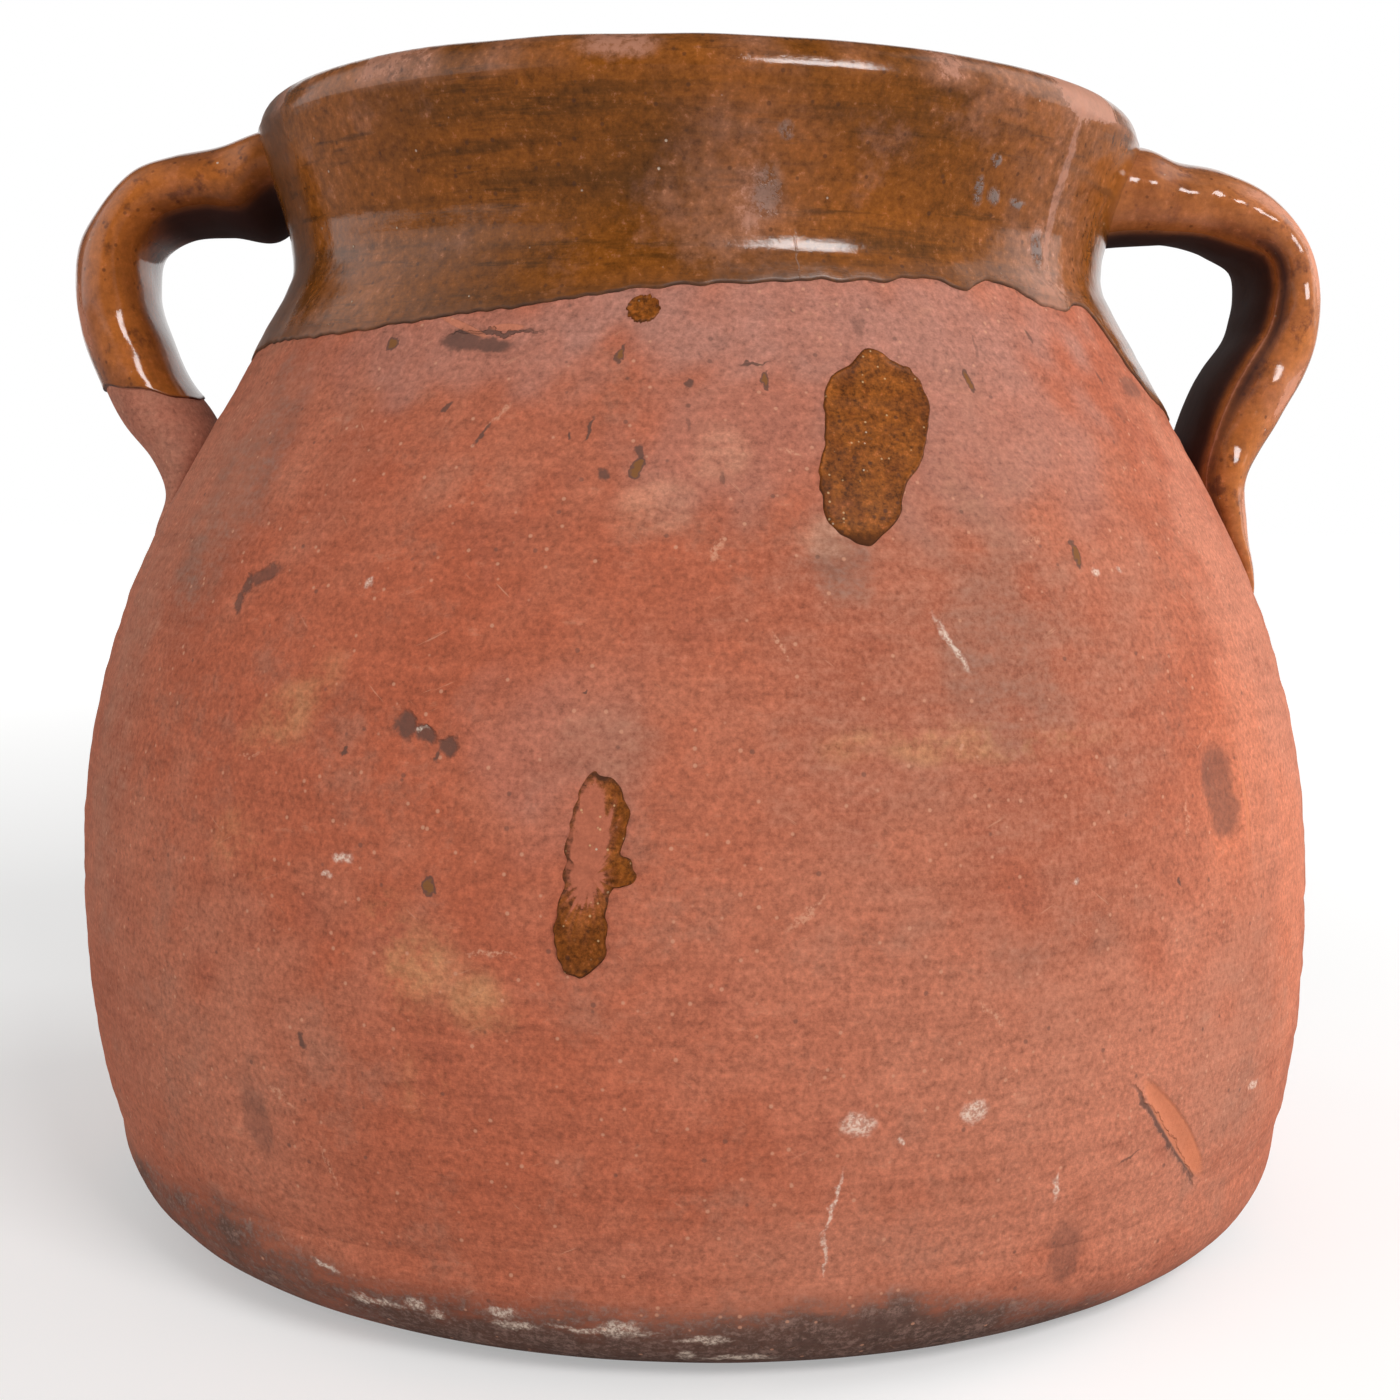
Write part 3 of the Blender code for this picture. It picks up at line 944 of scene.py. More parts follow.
@dataclass(frozen=True)
class Ground:
    """Places, noises and stains that the layers of the clay share.

    Attributes:
        place: Place on the piece.
        wall: Place on the unrolled wall.
        cloud: Broad clouds.
        patch: Patches of a few centimetres.
        mottle: Flat mottles of some millimetres.
        grain: Finest grain.
        lines: Throwing lines.
        stains: Painted stains.
        ragged: Patchy strength of a stain.
    """

    place: Wire
    wall: Wire
    cloud: Wire
    patch: Wire
    mottle: Wire
    grain: Wire
    lines: Wire
    stains: dict[StainKind, Wire]
    ragged: Wire

    @classmethod
    def of(cls, r: Recipe) -> Ground:
        """Nodes of one material.

        Args:
            r: Graph of the material.

        Returns:
            What its layers share.
        """
        place = r.place()
        wall = r.chart()
        cloud = r.noise(place, 15.0, 5.0, 0.62)
        patch = r.noise(place, 44.0, 6.0, 0.72)
        mottle = r.noise(r.scaled(place, (1.0, 1.0, 2.4)), 130.0, 6.0, 0.72)
        grain = r.noise(place, 850.0, 3.0, 0.75)
        lines = r.noise(r.scaled(place, (20.0, 20.0, 600.0)), 1.0, 4.0, 0.62)
        layers = {name: r.paint(name) for name in LAYERS}
        stains = {kind: layers[kind.value[0]][kind.value[1]] for kind in StainKind}
        ragged = 0.40 + 0.60 * r.step(patch, 0.38, 0.62)
        return cls(place, wall, cloud, patch, mottle, grain, lines, stains, ragged)


@dataclass(frozen=True)
class ClayFinish:
    """Bare fired terracotta, with dusty patches, blushes, scuffs and fine throwing lines.

    Attributes:
        name: Name of the material.
        nicks: Dark chips and scratches.
        spots: Dark stains that have no depth.
        drops: Tiny drops of glaze with a dark edge.
        flakes: Fresh orange chips.
        chalk: White crumbs.
        scuffs: Pale scratches.
        relief: Depth of the grain and the chips, in metres.
        light: Lighter clouds of the clay.
        red: Redder clouds of the clay.
        deep: Dark patches.
        dust: Dusty grey patches.
        blush: Pinkish haze of the shoulder.
        ochre: Yellow rubs.
        ember: Glowing orange where the fire was hot.
        scorch: Smoked clay.
        ash: Dusty grain in the smoke.
        pale: Pale rubs, dots and scratches.
        ruddy: Red zones.
        faded: Washed-out zones.
        nick: Bottom of chips and pits.
        glaze: Drops of glaze.
        flake: Fresh clay in a chip.
        white: Crumbs of lime.
    """

    name: str
    nicks: Marks = ()
    spots: Marks = ()
    drops: Marks = ()
    flakes: Marks = ()
    chalk: Marks = ()
    scuffs: Marks = ()
    relief: float = 0.00024
    light: Colour = (0.430, 0.146, 0.085)
    red: Colour = (0.385, 0.108, 0.057)
    deep: Colour = (0.300, 0.084, 0.050)
    dust: Colour = (0.330, 0.142, 0.092)
    blush: Colour = (0.385, 0.170, 0.126)
    ochre: Colour = (0.520, 0.250, 0.115)
    ember: Colour = (0.600, 0.170, 0.082)
    scorch: Colour = (0.105, 0.058, 0.044)
    ash: Colour = (0.175, 0.102, 0.081)
    pale: Colour = (0.560, 0.270, 0.170)
    ruddy: Colour = (0.385, 0.092, 0.044)
    faded: Colour = (0.490, 0.180, 0.110)
    nick: Colour = (0.110, 0.055, 0.042)
    glaze: Colour = (0.210, 0.085, 0.028)
    flake: Colour = (0.600, 0.195, 0.098)
    white: Colour = (0.760, 0.620, 0.510)

    def material(self) -> Material:
        """Node graph of the finish.

        Returns:
            The material.
        """
        r = Recipe(self.name)
        ground = Ground.of(r)
        colour = self.fired(r, ground)
        tone = r.grey(1.55 * ground.grain + 0.55 * ground.mottle + 0.40 * ground.lines - 0.25)
        colour = self.rubbed(r, ground, r.tint(1.0, colour, tone))
        height = 0.7 * ground.grain + 0.9 * ground.lines
        colour, height = self.marked(r, ground, colour, height)
        return r.finish(
            Base_Color=colour, Roughness=0.75 + 0.20 * ground.grain, Specular_IOR_Level=0.2,
            Normal=r.bump(height, self.relief),
        )

    def fired(self, r: Recipe, ground: Ground) -> Wire:
        """Colour that the clay and the fire gave.

        Args:
            r: Graph of the material.
            ground: What its layers share.

        Returns:
            The colour, with all soft stains.
        """
        patch, mottle, grain = ground.patch, ground.mottle, ground.grain
        stains, ragged = ground.stains, ground.ragged
        dust, scorch = stains[StainKind.DUST], stains[StainKind.SCORCH]
        colour = r.mix(r.step(ground.cloud, 0.36, 0.66), self.red, self.light)
        colour = r.mix(stains[StainKind.RUDDY], colour, self.ruddy)
        colour = r.mix(stains[StainKind.FADED], colour, self.faded)
        colour = r.mix(0.50 * r.step(patch, 0.52, 0.70), colour, self.dust)
        colour = r.mix(0.45 * r.step(patch, 0.46, 0.30), colour, self.deep)
        colour = r.mix(stains[StainKind.EMBER] * (0.7 + 0.3 * ragged), colour, self.ember)
        colour = r.mix(stains[StainKind.BLUSH] * (0.6 + 0.4 * ragged), colour, self.blush)
        shaggy = 1.6 * (patch - 0.5) + 2.0 * (mottle - 0.5) + 1.6 * (grain - 0.5)
        dusty = r.step(dust + shaggy * dust * (1.0 - dust) * 2.4, 0.0, 1.0)
        colour = r.mix(dusty, colour, self.dust)
        colour = r.mix(stains[StainKind.OCHRE] * r.step(patch, 0.40, 0.62), colour, self.ochre)
        torn = shaggy * scorch * (1.0 - scorch) * 3.8
        smoked = r.mix(r.step(0.5 * mottle + 0.5 * grain, 0.46, 0.60), self.scorch, self.ash)
        colour = r.mix(r.step(scorch + torn, 0.0, 1.0), colour, smoked)
        bright = stains[StainKind.PALE] * (0.4 + 0.6 * r.step(mottle, 0.40, 0.62))
        return r.mix(bright, colour, self.pale)

    def rubbed(self, r: Recipe, ground: Ground, colour: Wire) -> Wire:
        """Colour with pits, pale dots and short fine scratches all over it.

        Args:
            r: Graph of the material.
            ground: What its layers share.
            colour: Colour below them.

        Returns:
            The colour with them.
        """
        pits = r.specks(ground.place, 260.0, 0.16, 0.16)
        dots = r.specks(ground.place, 340.0, 0.17, 0.42)
        rubs = self.scratches(r, ground.wall, 24.0, 70.0, 900.0)
        rubs = rubs | self.scratches(r, ground.wall, -38.0, 90.0, 1100.0)
        colour = r.mix(pits * 0.55, colour, self.nick)
        bright = dots * 0.70 | rubs * 0.60 | 0.30 * r.step(ground.mottle, 0.60, 0.74)
        return r.mix(bright, colour, self.pale)

    def marked(self, r: Recipe, ground: Ground, colour: Wire, height: Wire) -> tuple[Wire, Wire]:
        """Add the crisp marks.

        Args:
            r: Graph of the material.
            ground: What its layers share.
            colour: Colour below the marks.
            height: Relief below the marks.

        Returns:
            Colour and relief with the marks.
        """
        chart = r.shaken(ground.wall, ground.place)
        fine = 0.5 * ground.grain + 0.5 * r.noise(ground.place, 1900.0, 2.0, 0.6)
        crumbs = r.step(fine, 0.44, 0.58)
        if self.scuffs:
            scuffs = r.marks(chart, self.scuffs, 0.5) * crumbs
            colour = r.mix(scuffs * 0.8, colour, self.pale)
        if self.spots:
            colour = r.mix(r.marks(chart, self.spots, 0.3) * 0.85, colour, self.nick)
        if self.nicks:
            nicks = r.marks(chart, self.nicks, 0.3)
            colour = r.mix(nicks * 0.85, colour, self.nick)
            height = height - 1.6 * nicks
        if self.flakes:
            flakes = r.marks(ground.wall, self.flakes, 0.15)
            colour = r.mix(flakes * (0.6 + 0.4 * ground.ragged), colour, self.flake)
            height = height - flakes
        if self.drops:
            away = r.nearest(chart, self.drops)
            colour = r.mix(r.step(away, 1.12, 0.88) * 0.85, colour, self.nick)
            colour = r.mix(r.step(away, 0.82, 0.54), colour, self.glaze)
        if self.chalk:
            chalk = r.marks(chart, self.chalk, 0.5) * (0.25 + 0.75 * crumbs)
            colour = r.mix(chalk * 0.72, colour, self.white)
        return colour, height

    @staticmethod
    def scratches(r: Recipe, wall: Wire, turn: float, along: float, across: float) -> Wire:
        """Mask of short fine scratches that lie at an angle."""
        stretch = {0: wall, 2: (0.0, 0.0, math.radians(turn)), 3: (1.0 / along, 1.0 / across, 1.0)}
        turned = r.node("ShaderNodeMapping", {"vector_type": "TEXTURE"}, stretch)
        return r.step(r.noise(turned, 1.0, 3.0, 0.6), 0.68, 0.78)


@dataclass(frozen=True)
class GlazeFinish:
    """Glossy lead glaze over terracotta, streaked where it ran and worn where hands hold it.

    Attributes:
        name: Name of the material.
        honey: Usual colour.
        olive: Colour of thick streaks.
        bare: Clay that shows where the coat is thin or gone, and the pale colour of the painted sheen
            and painted highlight lines on the straps and the collar.
        rim: Dark line at the edge of the coat, and the colour of dark specks, crusts and painted shade.
        streaks: Stretch of the streaks along x, y and z.
        cover: How much of the surface the streaks cover.
        gloss: Roughness of clean glaze.
        shine: Strength of its reflections.
        grain: Contrast of the fine mottling.
        fineness: How much finer the mottling is than the neck's.
        ripple: Height of the small waves in the surface, in metres.
        glints: Strength of fine pale specks, which are painted glints.
        glint: Colour of these painted glints.
        glinting_pinhole: Colour of the pinholes, pale as a painted glint.
        scab: Colour of the scabs.
        nicks: Grey scabs and scratches.
        scrapes: Places scraped down to the clay.
    """

    name: str
    honey: Colour = (0.235, 0.069, 0.008)
    olive: Colour = (0.088, 0.030, 0.005)
    bare: Colour = (0.410, 0.180, 0.112)
    rim: Colour = (0.060, 0.024, 0.012)
    streaks: Triple = (14.0, 14.0, 150.0)
    cover: float = 0.5
    gloss: float = 0.10
    shine: float = 0.5
    grain: float = 0.8
    fineness: float = 1.0
    ripple: float = 0.00020
    glints: float = 0.0
    glint: Colour = (0.60, 0.40, 0.20)
    glinting_pinhole: Colour = (0.55, 0.42, 0.30)
    scab: Colour = (0.16, 0.13, 0.12)
    nicks: Marks = ()
    scrapes: Marks = ()

    def material(self) -> Material:
        """Node graph of the finish.

        Returns:
            The material.
        """
        r = Recipe(self.name)
        place = r.place()
        streak = r.noise(r.scaled(place, self.streaks), 1.0, 5.0, 0.65)
        cloud = r.noise(place, 40.0, 6.0, 0.68)
        fine = r.noise(place, 520.0 * self.fineness, 4.0, 0.75)
        blotch = r.noise(r.scaled(place, (1.0, 1.0, 2.0)), 150.0 * self.fineness, 5.0, 0.72)
        # On the straps and the collar the worn channel also carries painted sheen and painted highlight
        # lines, and the dark channel painted shade.
        thick, worn, dark = r.paint("coat")
        edge = r.value("edge")
        veil = r.step(streak, 0.66 - 0.30 * self.cover, 0.84 - 0.30 * self.cover)
        finer = tuple(2.6 * value for value in self.streaks)
        thread = r.noise(r.scaled(place, finer), 1.0, 4.0, 0.7)
        colour = r.mix(veil * 0.80 | r.step(thread, 0.54, 0.70) * 0.85, self.honey, self.olive)
        colour = r.mix(thick * (0.35 + 0.55 * r.step(cloud, 0.34, 0.60)), colour, self.olive)
        thin = r.step(cloud, 0.54, 0.74) * 0.35 + r.step(fine, 0.58, 0.76) * 0.30
        colour = r.mix(thin, colour, self.bare)
        colour = r.mix(worn * (0.25 + 0.60 * r.step(cloud, 0.36, 0.62)), colour, self.bare)
        bare = r.step(worn + 0.9 * (cloud - 0.5) + 0.5 * (fine - 0.5), 0.56, 0.80)
        colour = r.mix(bare, colour, self.bare)
        tone = r.grey(1.0 + self.grain * (2.5 * fine + 1.1 * blotch - 1.80))
        colour = r.tint(1.0 - 0.7 * bare, colour, tone)
        specks = r.specks(place, 380.0, 0.22, 0.40) * (1.0 - bare)
        # Pinholes: pits in the relief whose pale colour is a painted glint.
        glinting_pinholes = r.specks(place, 190.0 * self.fineness, 0.04 + 0.03 * self.fineness, 0.50)
        colour = r.mix(specks * (0.45 + 0.15 * self.grain), colour, self.rim)
        colour = r.mix(glinting_pinholes * 0.8, colour, self.glinting_pinhole)
        # Painted glints: fine pale specks in the colour of the drip glaze.
        if self.glints:
            colour = r.mix(r.specks(place, 700.0, 0.20, 0.35) * self.glints, colour, self.glint)
        # Dark places: crusts, and painted shade and painted dark reflections.
        colour = r.mix(dark, colour, self.rim)
        colour = r.mix(edge * (0.25 + 0.65 * r.step(blotch, 0.40, 0.62)), colour, self.rim)
        height = 0.8 * r.noise(place, 140.0, 2.0) + 0.4 * streak - 0.8 * glinting_pinholes + 0.25 * fine
        rough = self.gloss + 0.10 * r.step(cloud, 0.40, 0.75) + 0.35 * bare + 0.25 * edge + 0.75 * dark
        chart = r.shaken(r.chart(), place)
        crumbs = r.step(fine, 0.40, 0.54)
        if self.scrapes:
            scrapes = r.marks(chart, self.scrapes, 0.45)
            colour = r.mix(scrapes * (0.35 + 0.5 * crumbs), colour, self.bare)
            rough = rough + 0.30 * scrapes
        if self.nicks:
            nicks = r.marks(chart, self.nicks, 0.45) * crumbs
            colour = r.mix(nicks * 0.8, colour, self.scab)
            rough = rough + 0.3 * nicks
            height = height + 0.8 * nicks
        return r.finish(
            Base_Color=colour, Roughness=rough, Specular_IOR_Level=self.shine,
            Normal=r.bump(height, self.ripple),
        )


# The pot's own marks


@dataclass(frozen=True)
class PotMarks:
    """Stains, dents and crisp marks where firing and use left them.

    Attributes:
        stains: Soft stains of the clay.
        dents: Hollows and lumps of the belly.
        nicks: Dark chips of the belly that have depth.
        spots: Dark stains of the belly.
        drops: Tiny drops of glaze on the belly.
        flakes: Fresh chips of the belly.
        chalk: White crumbs on the belly.
        scuffs: Pale scratches of the belly.
        heel_chalk: White crumbs on the smoked heel.
        heel_spots: Dark stains of the heel.
        neck_scrapes: Places where the collar's coat is scraped off.
        neck_nicks: Grey scabs on the collar's coat.
    """

    stains: tuple[Stain, ...] = (
        *Stain.many(
            StainKind.DUST, (12, 149, 8, 9, 0.6), (25, 136, 17, 26, 0.68), (22, 132, 52, 52, 0.38),
            (30, 86, 20, 34, 0.25), (52, 55, 26, 34, 0.35), (-6, 118, 12, 10, 0.5),
            (-60, 120, 16, 70, 0.4), (-52, 160, 14, 28, 0.5), (150, 110, 70, 60, 0.5),
            (-140, 60, 60, 40, 0.45),
        ),
        *Stain.many(
            StainKind.EMBER, (51, 106, 20, 28, 0.35), (62, 75, 18, 40, 0.4), (48.5, 103, 9, 14, 0.6),
            (-165, 140, 60, 30, 0.5),
        ),
        *Stain.many(
            StainKind.RUDDY, (-30, 122, 60, 46, 0.75), (-6, 58, 50, 34, 0.45), (5, 140, 30, 25, 0.35),
            (-2, 110, 36, 20, 0.45), (180, 70, 150, 36, 0.45),
        ),
        *Stain.many(
            StainKind.FADED, (38, 50, 45, 36, 0.7), (62, 120, 30, 70, 0.9), (20, 28, 60, 8, 0.5),
            (16, 68, 40, 30, 0.4), (140, 150, 40, 40, 0.6), (-120, 110, 40, 50, 0.5),
        ),
        *Stain.many(
            StainKind.BLUSH, (14, 194, 95, 13, 0.95), (27, 178, 46, 24, 0.8), (-24, 189, 50, 10, 0.7),
            (4, 173, 28, 16, 0.55), (-10, 117, 18, 16, 0.45), (165, 180, 120, 16, 0.55),
        ),
        *Stain.many(
            StainKind.SCORCH, (12, 150, 8, 7, 0.26), (25, 134, 13, 20, 0.2), (25, 96, 18, 30, 0.08),
            (-50, 164, 18, 36, 0.24), (-34, 166, 10, 22, 0.14), (-55, 60, 16, 40, 0.12),
            (118, 70, 22, 22, 0.26), (166, 148, 16, 18, 0.28), (-150, 96, 20, 26, 0.26),
            (-112, 150, 14, 20, 0.24),
        ),
        *Stain.many(
            StainKind.OCHRE, (-20.5, 80, 11, 8, 0.75, -30), (-15.5, 73, 9, 5, 0.65),
            (-33, 121, 12, 6, 0.5, 40), (-37, 95, 7, 8, 0.45), (-20, 57, 5, 8, 0.5),
            (22.5, 118.5, 26, 3.6, 0.75), (120, 95, 30, 10, 0.45), (172, 92, 14, 6, 0.6, 20),
            (-130, 64, 12, 8, 0.6, -25),
        ),
        *Stain.many(
            StainKind.PALE, (2.5, 170, 6, 5, 0.4), (-3.5, 159, 8, 5, 0.4), (11, 154, 6, 4, 0.45),
            (-170, 160, 7, 5, 0.45), (132, 134, 8, 5, 0.45),
        ),
    )
    dents: tuple[Oval, ...] = (
        Oval(47, 105, 6, 11, -0.9), Oval(51, 101, 2, 15, 0.45, 3),
        Oval(41.2, 40.9, 16.5, 2.2, -0.9, -48), Oval(-36.5, 44, 5, 9, -0.7, 12),
        Oval(-20.3, 119, 6.5, 3.6, -0.5, -28), Oval(-40.6, 145, 6, 2.4, -0.5, 14),
    )
    nicks: Marks = Mark.many(
        (-22, 191.9, 13, 0.4, -6), (-41.8, 144.3, 2, 1.5, 54, 0.9), (-40.1, 146.1, 4.6, 1.6, 9, 0.8),
        (-42.1, 140.6, 2.8, 1, 105, 0.9), (-21.9, 120.5, 1.9, 2.1), (-20.3, 119.3, 2.6, 1.3, -20),
        (-18.2, 117.3, 1.9, 1.5), (40.2, 40.4, 17, 0.9, -45),
    )
    spots: Marks = Mark.many(
        (5.8, 185.8, 3.3, 0.4, 4), (-24.7, 178, 1.7, 0.6, 29), (-20, 172.4, 2, 0.4, 49),
        (-9.6, 173.2, 2.4, 0.4, 62), (-19.1, 115.3, 1.3, 0.5, 81), (-30.2, 62, 0.9, 1.8, 10),
        (-25.3, 190.7, 6.4, 2), (-21.7, 189.6, 5.6, 1.4), (-0.4, 182.5, 1, 0.8), (-11.6, 172.3, 0.4, 1),
        (-7.9, 164.8, 1.3, 1.1), (-5, 169.2, 0.9, 1.3), (-0.4, 174.5, 0.7, 1.5, 0, 0.5),
        (2.4, 164.6, 0.6, 1.1, 0, 0.6), (-26.9, 114.9, 0.9, 0.5, 52), (-8.1, 126.9, 0.6, 0.35),
        (17.8, 193.3, 1.7, 2, 30, 0.5), (32, 190.8, 2.3, 0.6, 95, 0.5), (41, 193.8, 1.3, 0.6, 111, 0.8),
        (51.7, 186.5, 1.3, 0.6, 98, 0.7), (60, 185.3, 8, 2.2, 0, 0.6), (52.6, 179.5, 3.4, 1.9, 0, 0.35),
        (47.3, 108.5, 6, 5.6, 0, 0.65), (47.8, 101.5, 5.2, 5.4, 0, 0.65),
        (41.3, 38, 12.5, 1.8, -47, 0.35), (40.2, 89.8, 0.9, 0.35, -20), (36, 38.4, 3.7, 0.3, 8, 0.8),
        (-36.2, 44, 3.6, 7, 12, 0.45), (30.2, 22.5, 4, 5, 0, 0.5), (128, 118, 3.4, 1.2, 15, 0.9),
        (154, 176, 1.8, 0.8, 75), (171, 66, 2.2, 1.6, 30, 0.9), (202, 134, 3, 0.9, -30, 0.9),
        (222, 170, 1.4, 1.2), (239, 88, 2.6, 1.1, 60, 0.8), (186, 104, 1, 0.8),
        (104, 90, 1.6, 0.9, -40), (262, 120, 1.2, 1.6),
    )
    drops: Marks = Mark.many(
        (-34.7, 190.3, 1.8, 1.3), (-7.5, 187.6, 2.1, 0.8, 54), (7, 182.8, 1.2, 1.5),
        (-4.9, 166.6, 1.4, 2), (-19.1, 92.8, 1.4, 1.9, 8), (29.5, 183.7, 2.5, 1.1, 111),
        (35.2, 150.9, 2.2, 0.8, 97),
    )
    flakes: Marks = Mark.many(
        (41.4, 41, 16.5, 2.6, -45), (-25.9, 193.4, 9, 0.7, -9, 0.5), (-20.4, 192.9, 5, 0.7, 5, 0.5),
        (51, 103, 10, 0.8, 91, 0.7),
    )
    chalk: Marks = Mark.many(
        (-27.5, 145.2, 1.1, 0.8), (-26.4, 96.7, 1.8, 1), (-27.8, 93, 0.9, 0.6), (36.8, 147.9, 1, 0.5),
        (40, 147.9, 1, 0.5), (20.6, 135.3, 4.8, 0.8, -61), (11.6, 52.1, 2.8, 2), (20.6, 52.8, 2.5, 1.7),
        (15.2, 48.5, 1, 0.5, -46), (53.8, 43.6, 2.4, 0.8, 6), (29.4, 92.8, 0.6, 0.6),
        (-20.6, 119.9, 1.4, 0.5), (10, 37.3, 5.1, 0.4, 79), (9.6, 27.7, 4.6, 0.35, 89, 0.8),
        (28.4, 35.5, 2.4, 0.5, 93),
    )
    scuffs: Marks = Mark.many(
        (-18.7, 176.1, 3.2, 0.5, 49), (2, 151.9, 2.2, 0.8, 62), (8.9, 169.3, 2.4, 0.4, -22),
        (-36.2, 113.1, 3.2, 0.35, 8), (-14.4, 81.7, 4.2, 0.45, -1), (6.8, 135.3, 2.6, 0.5, -60),
        (30.5, 153.8, 2.2, 0.6, 12), (41.9, 101.2, 3.8, 0.5, 91), (22, 70.6, 3.5, 0.5, -50),
        (-33, 50, 4, 0.5, -35), (-29, 38, 4, 0.4, -78), (8, 90, 4, 0.5, 50), (145, 98, 4.5, 0.5, 45),
        (178, 128, 4, 0.5, -60), (214, 52, 3.6, 0.5, 30), (196, 84, 4.4, 0.45, 75),
        (112, 150, 3.4, 0.5, -30), (252, 70, 4, 0.5, 15),
    )
    heel_chalk: Marks = Mark.many(
        (-31, 17.2, 3, 0.6, -8), (-26.7, 11.6, 6, 0.7), (-22.9, 12.5, 2, 1.4), (-21.1, 11, 1.6, 1),
        (-15.4, 14, 2.6, 1), (-14.5, 11.2, 4, 1), (-7.6, 11.8, 9, 0.7), (-6.2, 12.4, 3.6, 1.6),
        (0.2, 10.5, 5, 0.7), (-1.1, 6.1, 1.6, 1.2), (3, 5.4, 7, 0.8),
    )
    heel_spots: Marks = Mark.many(
        (30.2, 20, 4, 5, 0, 0.5), (14, 13, 9, 1.6, 4, 0.5), (8, 9, 3, 0.8, 0, 0.7),
    )
    neck_scrapes: Marks = Mark.many(
        (50.5, 224, 2.3, 16, 0, 0.9), (-8.5, 244.5, 10, 2.8),
    )
    neck_nicks: Marks = Mark.many(
        (35.8, 222.5, 1.7, 2.6), (38.4, 221.8, 2.2, 1.6), (42.7, 221.4, 3.2, 1.1),
        (37.2, 228.6, 1.8, 0.9), (48.2, 212.7, 2.8, 3.9, 10), (11.7, 207, 0.3, 5, 0, 0.3),
        (8.2, 219.4, 4.2, 4.5, 0, 0.6), (9.8, 230.4, 2, 1.5, 0, 0.6),
    )


